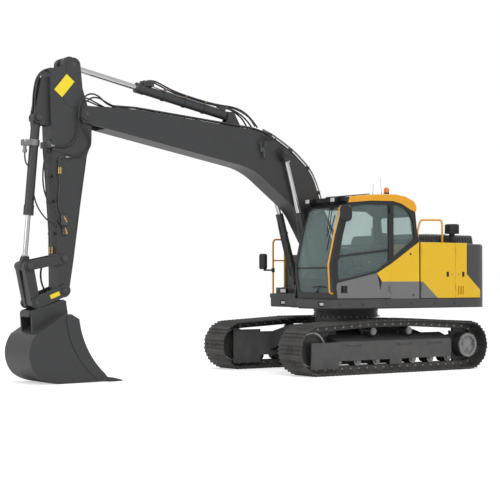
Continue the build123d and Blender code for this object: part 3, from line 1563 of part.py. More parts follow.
# Bucket linkage: guide links outside the arm, and a push link between the coupler's plates
guide_near = arm_half + side_gap + seat_gap
guide_plate = 42.0
with BuildPart() as guide_links:
    for inner in (guide_near, -guide_near - guide_plate):
        near = boom_y + inner + guide_plate
        strap(guide_pin, 68, link_pin, 68, near, boom_y + inner)
        for place in (guide_pin, link_pin):
            far = boom_y + inner + (guide_plate if inner > 0 else -22)
            bar(place, far + 22, far, 48)
guide_links.part.label = "guide_links"
export_step(guide_links.part, "parts/guide_links.step")

push_far = guide_near - seat_gap
with BuildPart() as push_link:
    for inner in (eye_half + side_gap, -push_far):
        near = boom_y + inner + push_far - eye_half - side_gap
        strap(link_pin, 76, tilt_pin, 72, near, boom_y + inner)
    web = between(link_pin, tilt_pin, 0.34)
    strap(web, 50, tilt_pin, 60, boom_y + push_far, boom_y - push_far)
    bar(tilt_pin, boom_y + push_far, boom_y - push_far, pin_radius - 8 + seat_gap, Mode.SUBTRACT)
push_link.part.label = "push_link"
export_step(push_link.part, "parts/push_link.step")

with BuildPart() as quick_coupler:
    for near in (ear_outer, -ear_inner):
        strap(bucket_pin, 88, tilt_pin, 84, boom_y + near, boom_y + near - ear_outer + ear_inner)
    plate(
        (
            (5440, 1225),
            (5570, 1250),
            (5640, 1316),
            (5764, 1246),
            (5850, 1136),
            (5900, 1095),
            (6040, 1085),
            (6060, 990),
            (5930, 975),
            (5560, 1130),
            (5450, 1140),
        ),
        boom_y + coupler_half,
        boom_y - coupler_half,
    )
    for sign in (1, -1):
        outer = boom_y + sign * ear_inner
        inner = boom_y + sign * (coupler_half - 20)
        plate(
            ((5560, 1240), (5640, 1318), (5764, 1248), (5846, 1140), (5800, 1130)),
            max(outer, inner),
            min(outer, inner),
        )
    for place in (bucket_pin, tilt_pin):
        bar(place, boom_y + ear_outer + 14, boom_y - ear_outer - 14, pin_radius - 8)
        bar(place, boom_y + ear_outer + 14, boom_y + ear_outer, 58)
        bar(place, boom_y - ear_outer, boom_y - ear_outer - 14, 58)
    for place in hook_pins:
        bar(place, boom_y + ear_inner - seat_gap, boom_y - ear_inner + seat_gap, 34)
quick_coupler.part.label = "quick_coupler"
export_step(quick_coupler.part, "parts/quick_coupler.step")

# Bucket: a rolled shell between two side plates, with a lip, teeth and ears
# Columns: the side plates' corners in side view, from the lip's point up the mouth, over the top and round
# the back to the heel. The mouth and the two halves of the back are arcs
lip = ((4840, 12), (4852, 40), (4925, 120))
mouth = ((4925, 120), (5210, 470), (5372, 955))
crest = ((5372, 955), (5500, 1030), (5612, 1024), (6075, 735))
back = ((6075, 735), (6178, 470), (6050, 130))
heel = ((6050, 130), (5885, 38), (5640, 0))
bucket_middle = (5600, 500)
cutter_edge = ((5585, 1012), (5392, 400), (5040, 34))
tooth_outline = ((4860, 0), (4860, 70), (4790, 62), (4625, 20), (4625, 6), (4780, 0))
with BuildSketch(side(boom_y + bucket_half)) as bucket_side:
    with BuildLine():
        Polyline(*lip)
        ThreePointArc(*mouth)
        Polyline(*crest)
        ThreePointArc(*back)
        ThreePointArc(*heel)
        Line(heel[-1], lip[0])
    make_face()
with BuildPart() as bucket:
    extrude(bucket_side.sketch, amount=2 * bucket_half)
    # The room inside, open at the mouth
    with BuildSketch(side(boom_y + bucket_half - bucket_wall)) as room:
        with BuildLine():
            inner_crest = [along(place, bucket_middle, bucket_wall) for place in crest[1:]]
            inner_back = [along(place, bucket_middle, bucket_wall) for place in back]
            inner_heel = [along(place, bucket_middle, bucket_wall) for place in heel]
            floor = (lip[0][0] - 100, lip[0][1] + bucket_wall)
            Polyline(floor, (floor[0], 1400), (mouth[-1][0] + bucket_wall, 1400), inner_crest[0])
            Polyline(*inner_crest)
            ThreePointArc(*inner_back)
            ThreePointArc(*inner_heel)
            Line(inner_heel[-1], floor)
        make_face()
    extrude(room.sketch, amount=2 * (bucket_half - bucket_wall), mode=Mode.SUBTRACT)
    for near in (ear_outer, -ear_inner):
        plate(
            (
                (5430, 965),
                (5468, 1200),
                (5524, 1190 + hook_radius),
                (5985, 1040 + hook_radius),
                (6041, 1030),
                (6020, 755),
                (5615, 1006),
            ),
            boom_y + near,
            boom_y + near - ear_outer + ear_inner,
            ((hook_pins[0], hook_radius), (hook_pins[1], hook_radius)),
        )
    # Side cutters along the front edges
    for sign in (1, -1):
        outer = boom_y + sign * (bucket_half + cutter_plate)
        inner = boom_y + sign * (bucket_half - bucket_wall)
        with BuildSketch(side(max(outer, inner))) as cutter:
            with BuildLine():
                ThreePointArc(*mouth)
                Polyline(mouth[-1], crest[1], cutter_edge[0])
                ThreePointArc(*cutter_edge)
                Line(cutter_edge[-1], mouth[0])
            make_face()
        extrude(cutter.sketch, amount=abs(outer - inner))
    tooth_pitch = (2 * bucket_half - tooth_width) / (tooth_count - 1)
    for index in range(tooth_count):
        near = boom_y + bucket_half - index * tooth_pitch
        plate(tooth_outline, near, near - tooth_width)
bucket.part.label = "bucket"
export_step(bucket.part, "parts/bucket.step")
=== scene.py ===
"""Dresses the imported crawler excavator: finishes for every node, fittings, hoses and a studio."""

from __future__ import annotations

import json
import logging
import math
from dataclasses import dataclass, field
from enum import Enum
from typing import Callable, Sequence

import bpy
from mathutils import Matrix, Vector

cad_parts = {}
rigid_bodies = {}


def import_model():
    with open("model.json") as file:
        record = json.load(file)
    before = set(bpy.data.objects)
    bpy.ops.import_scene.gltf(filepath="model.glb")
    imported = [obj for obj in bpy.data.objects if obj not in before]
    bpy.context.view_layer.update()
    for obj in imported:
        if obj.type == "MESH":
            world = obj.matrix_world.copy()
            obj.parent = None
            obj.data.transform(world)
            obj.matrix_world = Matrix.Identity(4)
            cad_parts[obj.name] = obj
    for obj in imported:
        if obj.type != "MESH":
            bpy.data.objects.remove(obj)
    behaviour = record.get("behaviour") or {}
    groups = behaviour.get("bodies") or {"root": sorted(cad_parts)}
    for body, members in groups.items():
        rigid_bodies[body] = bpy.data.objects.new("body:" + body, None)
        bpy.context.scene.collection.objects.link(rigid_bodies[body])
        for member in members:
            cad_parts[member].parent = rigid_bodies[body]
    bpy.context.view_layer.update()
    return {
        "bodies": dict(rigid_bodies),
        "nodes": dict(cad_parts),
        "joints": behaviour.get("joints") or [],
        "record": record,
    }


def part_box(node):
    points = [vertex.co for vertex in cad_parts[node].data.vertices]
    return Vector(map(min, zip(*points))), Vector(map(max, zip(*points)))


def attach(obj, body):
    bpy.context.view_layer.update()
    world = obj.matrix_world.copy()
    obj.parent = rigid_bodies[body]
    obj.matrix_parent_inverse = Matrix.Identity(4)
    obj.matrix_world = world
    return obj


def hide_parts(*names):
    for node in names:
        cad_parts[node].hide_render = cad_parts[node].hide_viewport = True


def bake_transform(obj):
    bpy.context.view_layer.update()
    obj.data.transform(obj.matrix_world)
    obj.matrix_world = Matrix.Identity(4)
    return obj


LOG = logging.getLogger("excavator")
SLEW_X = -1.875  # the slew axis, forward of the frame's origin, in metres
BOOM_Y = -100.0  # the boom's middle plane, in millimetres
EDGE_ANGLE = 38  # edges of turned pieces and blocks sharper than this stay sharp, in degrees
HOSE_ANGLE = 50  # the same for hoses
ROUND = 24  # sides of a large turned piece
HOSE_STEPS = 6  # steps of a hose between two of its control points
PIPE_STEPS = 2  # the same for a run of order 2
COAT_ROUGHNESS = 0.12  # of every clear coat
BUMP_STRENGTH = 0.5  # of every bump
DRIFT = (2.3, 4.0)  # scale and detail of the noise that a colour drifts by

Piece = bpy.types.Object
Point = tuple[float, float, float]
Colour = tuple[float, float, float]
Spot = tuple[Vector, Vector]
Ring = tuple[float, float]

LEFT = Vector((0, 1, 0))
RIGHT = Vector((0, -1, 0))
UP = Vector((0, 0, 1))
AHEAD = Vector((1, 0, 0))

# Turned pieces: how far along the axis and the radius there, in millimetres
HEX_HEAD: tuple[Ring, ...] = ((0, 13), (9, 13), (12, 10))
WASHER_HEAD: tuple[Ring, ...] = ((0, 20), (4, 20), (4, 14), (14, 14), (17, 11))
HOOD_BOLT: tuple[Ring, ...] = ((0, 14), (3, 14), (3, 9), (10, 9), (12, 7))
LINK_PIN: tuple[Ring, ...] = ((0, 23), (5, 23), (8, 19))
PIN_HEAD: tuple[Ring, ...] = ((0, 62), (8, 62), (12, 58), (12, 36), (22, 36), (26, 32))
SMALL_PIN_HEAD: tuple[Ring, ...] = ((0, 48), (8, 48), (11, 45), (11, 28), (20, 28), (24, 24))
ROLLER_CAP: tuple[Ring, ...] = ((0, 60), (6, 60), (6, 46), (14, 46), (14, 30), (20, 30), (24, 24))
COLLAR: tuple[Ring, ...] = ((0, 15), (4, 18), (70, 18), (74, 15))
BRASS_FITTING: tuple[Ring, ...] = (
    (0, 13), (26, 13), (26, 19), (48, 19), (50, 14), (76, 14), (78, 20), (98, 20), (101, 15)
)
VALVE_CAP: tuple[Ring, ...] = ((0, 26), (60, 26), (60, 34), (104, 34), (110, 28))
TANK_CAP: tuple[Ring, ...] = (
    (0, 52), (6, 52), (10, 46), (10, 58), (36, 58), (42, 52), (42, 20), (54, 18), (58, 12)
)
WIPER_PIVOT: tuple[Ring, ...] = ((0, 22), (18, 22), (30, 15))
LEVER_BOOT: tuple[Ring, ...] = ((0, 38), (12, 34), (24, 36), (36, 28), (48, 29), (60, 20), (66, 12))
LEVER: tuple[Ring, ...] = ((0, 9), (60, 9), (64, 20), (90, 23), (140, 21), (164, 24), (172, 18))
BEACON_FOOT: tuple[Ring, ...] = ((0, 52), (10, 52), (14, 46), (52, 44), (56, 49), (64, 49))
BEACON_DOME: tuple[Ring, ...] = (
    (0, 46), (8, 47), (12, 44), (22, 47), (34, 44), (46, 47), (60, 43), (74, 38), (86, 29), (93, 17), (95, 6)
)

# Base colours, linear
CHARCOAL = (0.040, 0.041, 0.043)
GREY = (0.060, 0.061, 0.063)
YELLOW = (0.88, 0.54, 0.010)
PANEL_GREY = (0.185, 0.185, 0.186)
BLACK = (0.014, 0.014, 0.015)
ORANGE = (0.87, 0.40, 0.012)
FRAME_GREY = (0.085, 0.085, 0.086)
SHOE_STEEL = (0.078, 0.075, 0.073)
WHEEL_STEEL = (0.060, 0.058, 0.056)
RING_STEEL = (0.035, 0.035, 0.035)
CHROME = (0.72, 0.72, 0.73)


def at(x: float, y: float, z: float) -> Vector:
    """Give the frame's place of a point stated in millimetres forward of the slew axis."""
    return Vector((SLEW_X + x / 1000, y / 1000, z / 1000))


def local(spot: Vector, y: float, ahead: float = 0.0, up: float = 0.0) -> Point:
    """Give a place of the frame in millimetres from the slew axis, with its y replaced and moved a little."""
    return ((spot.x - SLEW_X) * 1000 + ahead, y, spot.z * 1000 + up)


def operator(operation: str, swapped: bool = False) -> Callable[[Wire, Wire | float], Wire]:
    """Make an operator's method.

    Args:
        operation: what its Math node does.
        swapped: whether the wire comes second, as in a reflected operator.

    Returns:
        The method.
    """

    def method(self: Wire, other: Wire | float) -> Wire:
        """Add the Math node on both values."""
        values = (other, self) if swapped else (self, other)
        return self.graph.node("ShaderNodeMath", {"operation": operation}, *values)

    return method


class Wire:
    """One shader socket with arithmetic: each operator adds the Math node that does it.

    The comparisons give 1 or 0, and | and & give the greater and the lesser of two masks.
    """

    __add__ = __radd__ = operator("ADD")
    __sub__ = operator("SUBTRACT")
    __rsub__ = operator("SUBTRACT", swapped=True)
    __mul__ = __rmul__ = operator("MULTIPLY")
    __gt__ = operator("GREATER_THAN")
    __lt__ = operator("LESS_THAN")
    __or__ = __ror__ = operator("MAXIMUM")
    __and__ = __rand__ = operator("MINIMUM")

    def __init__(self, graph: Graph, socket: bpy.types.NodeSocket) -> None:
        """Wrap a socket of a graph."""
        self.graph = graph
        self.socket = socket

    def size(self) -> Wire:
        """Give the absolute value."""
        return self.graph.node("ShaderNodeMath", {"operation": "ABSOLUTE"}, self)

    def clamped(self) -> Wire:
        """Keep the value between 0 and 1."""
        return self.graph.node("ShaderNodeMath", {"operation": "ADD", "use_clamp": True}, self, 0.0)

    def ramp(self, low: float, high: float) -> Wire:
        """Rise smoothly from 0 at low to 1 at high."""
        settings = {"interpolation_type": "SMOOTHSTEP"}
        return self.graph.node("ShaderNodeMapRange", settings, self, low, high)


class Graph:
    """A node tree and the one method that adds nodes to it."""

    def __init__(self, tree: bpy.types.NodeTree) -> None:
        """Take a tree and empty it."""
        tree.nodes.clear()
        self.tree = tree

    def node(
        self, kind: str, settings: dict | None = None, *values: object, out: int | str = 0, **named: object
    ) -> Wire:
        """Add a node.

        Args:
            kind: the node's type.
            settings: its settings, made before its sockets are filled.
            values: what its first inputs take, a Wire or a value each, or None to leave one alone.
            out: which output is wrapped.
            named: inputs filled by name, with _ for a space.

        Returns:
            The wrapped output, or the first input of a node without outputs.
        """
        made = self.tree.nodes.new(kind)
        for key, value in (settings or {}).items():
            setattr(made, key, value)
        pairs = list(zip(made.inputs, values))
        pairs += [(made.inputs[key.replace("_", " ")], value) for key, value in named.items()]
        for socket, value in pairs:
            if isinstance(value, Wire):
                self.tree.links.new(value.socket, socket)
            elif value is not None:
                socket.default_value = value
        return Wire(self, made.outputs[out] if made.outputs else made.inputs[0])


@dataclass
class Finish(Graph):
    """A procedural material: a Principled surface with what varies over it worked out from its place.

    Attributes:
        name: the material's name.
        colour: the base colour, linear.
        roughness: the middle of the roughness.
        metallic: 1 for bare metal.
        coat: weight of the clear coat.
        mottle: how far the colour varies, as a share.
        grain: size of the surface's grain, per metre.
        relief: height of the grain's bump, 0 for none.
        specular: the specular level.
    """

    name: str
    colour: Colour
    roughness: float = 0.45
    metallic: float = 0.0
    coat: float = 0.0
    mottle: float = 0.06
    grain: float = 60.0
    relief: float = 0.0
    specular: float = 0.5
    material: bpy.types.Material = field(init=False, repr=False)

    def __post_init__(self) -> None:
        """Make the material."""
        self.material = bpy.data.materials.new(self.name)
        self.material.use_nodes = True
        super().__init__(self.material.node_tree)
        self.build()

    def place(self) -> tuple[Wire, Wire, Wire, Wire]:
        """Give the object coordinates whole and as x, y and z.

        Returns:
            The whole vector, then x, y and z.
        """
        whole = self.node("ShaderNodeTexCoord", out="Object")
        split = [self.node("ShaderNodeSeparateXYZ", {}, whole, out=index) for index in range(3)]
        return (whole, *split)

    def noise(self, whole: Wire, scale: float, detail: float = 3.0, stretch: Point | None = None) -> Wire:
        """Give a noise of 0 to 1 over the object coordinates, stretched if asked.

        Args:
            whole: the object coordinates.
            scale: how fine the noise is.
            detail: its octaves.
            stretch: a scale for each axis.

        Returns:
            The noise.
        """
        if stretch:
            whole = self.node("ShaderNodeMapping", {}, whole, Scale=stretch)
        return self.node("ShaderNodeTexNoise", {}, Vector=whole, Scale=scale, Detail=detail)

    def mix(self, share: Wire, low: Colour | Wire, high: Colour | Wire) -> Wire:
        """Mix two colours; the node's first colour input is the seventh.

        Args:
            share: how much of the high colour is taken.
            low: the colour at 0.
            high: the colour at 1.

        Returns:
            The mixed colour.
        """
        colours = [(*c, 1.0) if isinstance(c, tuple) else c for c in (low, high)]
        unused = [None] * 5
        return self.node("ShaderNodeMix", {"data_type": "RGBA"}, share, *unused, *colours, out=2)

    def varied(self, whole: Wire, colour: Colour, amount: float) -> Wire:
        """Give a colour that drifts lighter and darker over the surface.

        Args:
            whole: the object coordinates.
            colour: the middle colour.
            amount: how far it drifts, as a share.

        Returns:
            The drifting colour.
        """
        low = tuple(c * (1 - amount) for c in colour)
        high = tuple(min(1.0, c * (1 + amount)) for c in colour)
        return self.mix(self.noise(whole, *DRIFT), low, high)

    @staticmethod
    def spread(x: Wire, z: Wire, centre: tuple[float, float]) -> Wire:
        """Give the squared distance in metres from a centre stated in millimetres, in side view.

        Args:
            x: the x coordinate.
            z: the z coordinate.
            centre: the centre, in millimetres from the slew axis.

        Returns:
            The squared distance.
        """
        dx = x - (SLEW_X + centre[0] / 1000)
        dz = z - centre[1] / 1000
        return dx * dx + dz * dz

    def surface(self, colour: Wire, rough: Wire | float, bump: Wire | None = None, **named: object) -> None:
        """Join the Principled shader to the output.

        Args:
            colour: the base colour.
            rough: the roughness.
            bump: a height for the bump, used if the finish has a relief.
            named: sockets by name that differ from the finish's own.
        """
        normal = None
        if bump is not None and self.relief:
            settings = {"Height": bump, "Strength": BUMP_STRENGTH, "Distance": self.relief}
            normal = self.node("ShaderNodeBump", {}, **settings)
        sockets = {
            "Base_Color": colour,
            "Roughness": rough,
            "Metallic": self.metallic,
            "Coat_Weight": self.coat,
            "Coat_Roughness": COAT_ROUGHNESS,
            "Specular_IOR_Level": self.specular,
            "Normal": normal,
        }
        shader = self.node("ShaderNodeBsdfPrincipled", {}, **(sockets | named))
        self.node("ShaderNodeOutputMaterial", {}, shader)

    def build(self) -> None:
        """Make the plain finish: a drifting colour, a fine grain and its roughness."""
        whole, _, _, _ = self.place()
        fine = self.noise(whole, self.grain)
        rough = fine * 0.12 + (self.roughness - 0.06)
        self.surface(self.varied(whole, self.colour, self.mottle), rough, fine)


@dataclass
class DustyPaint(Finish):
    """Paint or casting with pale dust that settles low down and in a fine speckle.

    Attributes:
        dust: the dust's colour.
        dust_top: height in metres where the dust ends.
        dust_most: share of dust at the bottom.
    """

    dust: Colour = (0.20, 0.18, 0.15)
    dust_top: float = 0.9
    dust_most: float = 0.35

    def build(self) -> None:
        """Add the dust over the plain finish."""
        whole, _, _, z = self.place()
        fine = self.noise(whole, self.grain)
        patch = self.noise(whole, 5.0, 5.0)
        low = 1 - z.ramp(0.0, self.dust_top)
        share = (low * patch.ramp(0.35, 0.75) * self.dust_most).clamped()
        colour = self.mix(share, self.varied(whole, self.colour, self.mottle), self.dust)
        self.surface(colour, fine * 0.15 + share * 0.25 + (self.roughness - 0.07), fine)


@dataclass
class ToneRegion:
    """A convex region of the side view and its paint.

    Attributes:
        colour: the region's colour.
        corners: its corners in millimetres from the slew axis, anticlockwise seen with +X to the
            right and +Z up.
    """

    colour: Colour
    corners: tuple[tuple[float, float], ...]


@dataclass
class TonedPaint(Finish):
    """Paint in several tones with crisp borders in side view.

    Attributes:
        regions: convex regions painted over the main colour, in order.
    """

    regions: Sequence[ToneRegion] = ()

    def build(self) -> None:
        """Paint the regions over the main colour."""
        whole, x, _, z = self.place()
        colour = self.varied(whole, self.colour, self.mottle)
        for region in self.regions:
            inside: Wire | None = None
            corners = [(SLEW_X + cx / 1000, cz / 1000) for cx, cz in region.corners]
            for (x0, z0), (x1, z1) in zip(corners, corners[1:] + corners[:1]):
                left = ((z - z0) * (x1 - x0) - (x - x0) * (z1 - z0)) > 0.0
                inside = left if inside is None else inside & left
            colour = self.mix(inside, colour, self.varied(whole, region.colour, self.mottle))
        fine = self.noise(whole, self.grain)
        self.surface(colour, fine * 0.1 + (self.roughness - 0.05), fine)


@dataclass
class ClearGlass(Finish):
    """Tinted safety glass: mostly clear, with a sheen."""

    def build(self) -> None:
        """Mix a clear tint with a glossy coat by the angle of view."""
        whole, _, _, _ = self.place()
        streak = self.noise(whole, 3.0, 2.0)
        clear = self.node("ShaderNodeBsdfTransparent", {}, (*self.colour, 1.0))
        sheen = (0.33, 0.42, 0.415, 1.0)
        gloss = self.node("ShaderNodeBsdfPrincipled", {}, Base_Color=sheen, Roughness=0.04)
        share = self.node("ShaderNodeLayerWeight", {}, 0.30, out="Facing") * 0.35 + streak * 0.04 + 0.13
        mixed = self.node("ShaderNodeMixShader", {}, share, clear, gloss)
        self.node("ShaderNodeOutputMaterial", {}, mixed)


@dataclass
class Cloth(Finish):
    """Woven seat cloth: fine threads that cross."""

    def build(self) -> None:
        """Cross two bands of fine waves into a weave."""
        whole, _, _, _ = self.place()
        warp, weft = (
            self.node("ShaderNodeTexWave", {"bands_direction": way}, Vector=whole, Scale=95.0, Distortion=0.6)
            for way in ("X", "Z")
        )
        weave = warp * weft
        low = tuple(c * 0.55 for c in self.colour)
        self.surface(self.mix(weave, low, self.colour), 0.92, weave)


@dataclass
class Chrome(Finish):
    """Polished hard chrome, finely ground round the rod."""

    def scratched(self, whole: Wire) -> Wire:
        """Give a low roughness with very fine scratches."""
        return self.noise(whole, 40.0, 6.0, (1.0, 1.0, 14.0)) * 0.14 + 0.10

    def build(self) -> None:
        """Vary the gloss with the scratches."""
        whole, _, _, _ = self.place()
        self.surface(self.varied(whole, self.colour, 0.04), self.scratched(whole))


@dataclass
class RodPaint(Chrome):
    """A chromed rod whose eye is painted.

    Attributes:
        eye: the eye's centre in side view, in millimetres from the slew axis.
        reach: how far from there the paint goes, in metres.
    """

    eye: tuple[float, float] = (0.0, 0.0)
    reach: float = 0.15

    def build(self) -> None:
        """Mix the paint over the chrome near the eye."""
        whole, x, _, z = self.place()
        near = self.spread(x, z, self.eye) < self.reach**2
        chrome = self.varied(whole, self.colour, 0.04)
        colour = self.mix(near, chrome, self.varied(whole, CHARCOAL, 0.08))
        self.surface(colour, self.scratched(whole) + near * 0.3, Metallic=1 - near)


@dataclass
class WornAndHighlitSteel(DustyPaint):
    """Rolling steel that is bright in bands where it runs and where it was machined: partly real wear, partly
    a painted highlight, the idler's rim most of all.

    Attributes:
        bright: the colour of the bands, worn metal and painted highlight.
        across: distance from the machine's middle beyond which it is bright, in metres.
        hub: the wheel's centre in side view, in millimetres from the slew axis.
        rim: the radius beyond which it is bright, in metres.
    """

    bright: Colour = (0.30, 0.30, 0.30)
    across: float = 9.0
    hub: tuple[float, float] = (0.0, 0.0)
    rim: float = 9.0

    def build(self) -> None:
        """Mix the bright bands, part wear and part painted highlight, over the steel."""
        whole, x, y, z = self.place()
        # Where the bands lie: worn steel, also painted brighter as a highlight on the rims
        wear_and_highlight = (y.size() > self.across) | (self.spread(x, z, self.hub) > self.rim**2)
        fine = self.noise(whole, self.grain)
        share = wear_and_highlight * self.noise(whole, 9.0, 5.0).ramp(0.25, 0.55)
        colour = self.mix(share, self.varied(whole, self.colour, self.mottle), self.bright)
        self.surface(colour, fine * 0.2 + 0.30, fine)


class Kit(Enum):
    """The finishes that pieces ask for: each one's material and its slot."""

    CHARCOAL = ("charcoal_paint", "frame_charcoal")
    GREY = ("grey_paint", "trim_grey")
    YELLOW = ("yellow_paint", "body_yellow")
    PANEL = ("panel_paint", "door_grey")
    STEEL = ("forged_steel", "track_steel")
    MACHINED = ("machined_steel", "machined_steel")
    CHROME = ("hard_chrome", "rod_chrome")
    GLASS = ("cab_glass", "clear_glass")
    CLOTH = ("seat_cloth", "seat_cloth")
    PLASTIC = ("black_plastic", "black_plastic")
    AMBER = ("amber_plastic", "amber_plastic")
    RUBBER = ("black_rubber", "black_plastic")
    BRASS = ("brass", "machined_steel")
    LENS = ("lamp_lens", "clear_glass")
    MIRROR = ("mirror_face", "machined_steel")
    PLATE = ("blank_plate", "body_yellow")

    @property
    def slot(self) -> str:
        """Give the slot that the finish stands for."""
        return self.value[1]


# A CAD node's slot gets the first finish that stands for it
SLOT_KITS = {kit.slot: kit for kit in reversed(Kit)}

# The grey of the body's lower band and the yellow of the door's rear corner, in side view
LOWER_BAND = ToneRegion(PANEL_GREY, ((-680, 1200), (300, 1200), (232, 1514), (-680, 1514)))
LOWER_WEDGE = ToneRegion(PANEL_GREY, ((-1036, 1222), (-600, 1222), (-600, 1514), (-680, 1514)))
DOOR_PANEL = ToneRegion(PANEL_GREY, ((232, 1215), (1240, 1215), (1180, 1488), (335, 1655)))
DOOR_LOW = ToneRegion(PANEL_GREY, ((20, 1215), (300, 1215), (232, 1514), (20, 1514)))
DOOR_CORNER = ToneRegion(YELLOW, ((20, 1514), (232, 1514), (335, 1655), (20, 1815)))
HANDLE = ToneRegion(BLACK, ((966, 1325), (1102, 1325), (1102, 1443), (966, 1443)))
VISOR = ToneRegion(BLACK, ((960, 2780), (1120, 2780), (1120, 3000), (890, 3000)))
CAB_SKIRT = ToneRegion(YELLOW, ((-660, 1514), (36, 1514), (36, 1806), (-660, 2225)))
CAB_SKIRT_LOW = ToneRegion(PANEL_GREY, ((-660, 1215), (36, 1215), (36, 1514), (-660, 1514)))


def make_finishes() -> dict[Kit, Finish]:
    """Make every finish once and give them by kit.

    Returns:
        The finishes by kit.
    """
    table = {
        Kit.CHARCOAL: (Finish, CHARCOAL, 0.40, dict(coat=0.10, mottle=0.10, grain=90, relief=0.0004)),
        Kit.GREY: (Finish, GREY, 0.42, dict(coat=0.12, mottle=0.08, grain=80, relief=0.0004)),
        Kit.YELLOW: (Finish, YELLOW, 0.32, dict(coat=0.18, mottle=0.03, grain=40)),
        Kit.PANEL: (Finish, PANEL_GREY, 0.38, dict(coat=0.15, mottle=0.05, grain=60)),
        Kit.STEEL: (DustyPaint, SHOE_STEEL, 0.44, dict(metallic=0.35, mottle=0.3, grain=35, relief=0.001)),
        Kit.MACHINED: (Finish, (0.30, 0.30, 0.30), 0.34, dict(metallic=0.9, mottle=0.1)),
        Kit.CHROME: (Chrome, CHROME, 0.45, dict(metallic=1.0)),
        Kit.GLASS: (ClearGlass, (0.90, 0.95, 0.945), 0.45, {}),
        Kit.CLOTH: (Cloth, (0.035, 0.035, 0.038), 0.45, dict(relief=0.0006)),
        Kit.PLASTIC: (Finish, BLACK, 0.50, dict(grain=240, relief=0.0004)),
        Kit.AMBER: (Finish, (0.90, 0.24, 0.012), 0.18, dict(coat=0.6)),
        Kit.RUBBER: (Finish, (0.030, 0.030, 0.031), 0.42, dict(grain=200, relief=0.0003)),
        Kit.BRASS: (Finish, (0.62, 0.43, 0.16), 0.30, dict(metallic=1.0, mottle=0.12)),
        Kit.LENS: (Finish, (0.62, 0.63, 0.64), 0.12, dict(coat=0.8)),
        Kit.MIRROR: (Finish, (0.75, 0.77, 0.78), 0.06, dict(metallic=1.0, mottle=0.02)),
        Kit.PLATE: (Finish, (0.92, 0.72, 0.02), 0.35, dict(coat=0.3, mottle=0.02)),
    }
    made = {}
    for kit, (kind, colour, roughness, more) in table.items():
        made[kit] = kind(kit.value[0], colour, roughness, **more)
    return made


@dataclass
class Dresser:
    """Gives finishes to the CAD nodes.

    Attributes:
        finishes: the finishes by kit.
    """

    frame: dict
    finishes: dict[Kit, Finish]

    def toned(self) -> dict[str, Finish]:
        """Give the nodes that have a finish of their own.

        Returns:
            The finishes by node.
        """
        gloss = {"coat": 0.2, "grain": 60}
        door_tones = (DOOR_PANEL, DOOR_LOW, DOOR_CORNER, HANDLE)
        panel_tones = (LOWER_BAND, LOWER_WEDGE)
        found: dict[str, Finish] = {
            "cab_shell": TonedPaint("cab_paint", BLACK, 0.34, regions=(CAB_SKIRT, CAB_SKIRT_LOW), **gloss),
            "cab_door": TonedPaint("door_paint", BLACK, 0.34, regions=door_tones, **gloss),
            "service_door_front": TonedPaint(
                "front_panel_paint", YELLOW, 0.32, coat=0.18, mottle=0.03, regions=panel_tones
            ),
            "cab_roof": TonedPaint("roof_paint", ORANGE, 0.30, coat=0.2, mottle=0.03, regions=(VISOR,)),
        }
        rails = Finish("rail_paint", ORANGE, 0.32, coat=0.2, mottle=0.04)
        frames = DustyPaint("frame_paint", FRAME_GREY, 0.42, mottle=0.10, grain=50, relief=0.0005)
        found["slew_ring"] = DustyPaint("ring_steel", RING_STEEL, 0.34, metallic=0.5, mottle=0.2)
        found["boom_pipes"] = Finish("pipe_paint", (0.055, 0.056, 0.058), 0.22, metallic=0.4, coat=0.5)
        found |= {node: rails for node in ("cab_rail", "hood_rail", "step_rails")}
        for side in ("left", "right"):
            found[f"track_frame_{side}"] = frames
            found[f"final_drive_{side}"] = self.wear_and_highlight(f"drive_steel_{side}", across=1.309)
            # The idler's rim is painted brighter as a highlight, on top of its wear
            found[f"idler_{side}"] = self.wear_and_highlight(
                f"idler_steel_{side}", hub=(1640, 415), rim=0.262, bright=(0.52, 0.52, 0.52)
            )
            found[f"rollers_{side}"] = self.wear_and_highlight(f"roller_steel_{side}", across=1.19)
        # Columns: cylinder, its rod's node, the rod's eye
        eyes = (
            ("boom_cylinder", "rods", (1455, 3670)),
            ("arm_cylinder", "rod", (5335, 4805)),
            ("bucket_cylinder", "rod", (6065, 1748)),
        )
        for cylinder, rod, eye in eyes:
            found[f"{cylinder}_{rod}"] = RodPaint(f"{cylinder}_rod_chrome", CHROME, eye=eye)
        return found

    @staticmethod
    def wear_and_highlight(name: str, **bands: object) -> WornAndHighlitSteel:
        """Make a rolling steel with its bright bands of wear and painted highlight."""
        rough = {"metallic": 0.4, "mottle": 0.25, "grain": 40, "relief": 0.0006}
        return WornAndHighlitSteel(name, WHEEL_STEEL, 0.5, **rough, **bands)

    def dress_nodes(self) -> None:
        """Assign a finish to every CAD node."""
        toned = self.toned()
        slots = {row["node"]: row["material_slot"] for row in self.frame["record"]["subparts"]}
        for name, obj in self.frame["nodes"].items():
            finish = toned.get(name) or self.finishes[SLOT_KITS[slots[name]]]
            obj.data.materials.clear()
            obj.data.materials.append(finish.material)
        LOG.info("dressed %d nodes", len(slots))


def clear() -> None:
    """Deselect everything before a new primitive."""
    bpy.ops.object.select_all(action="DESELECT")


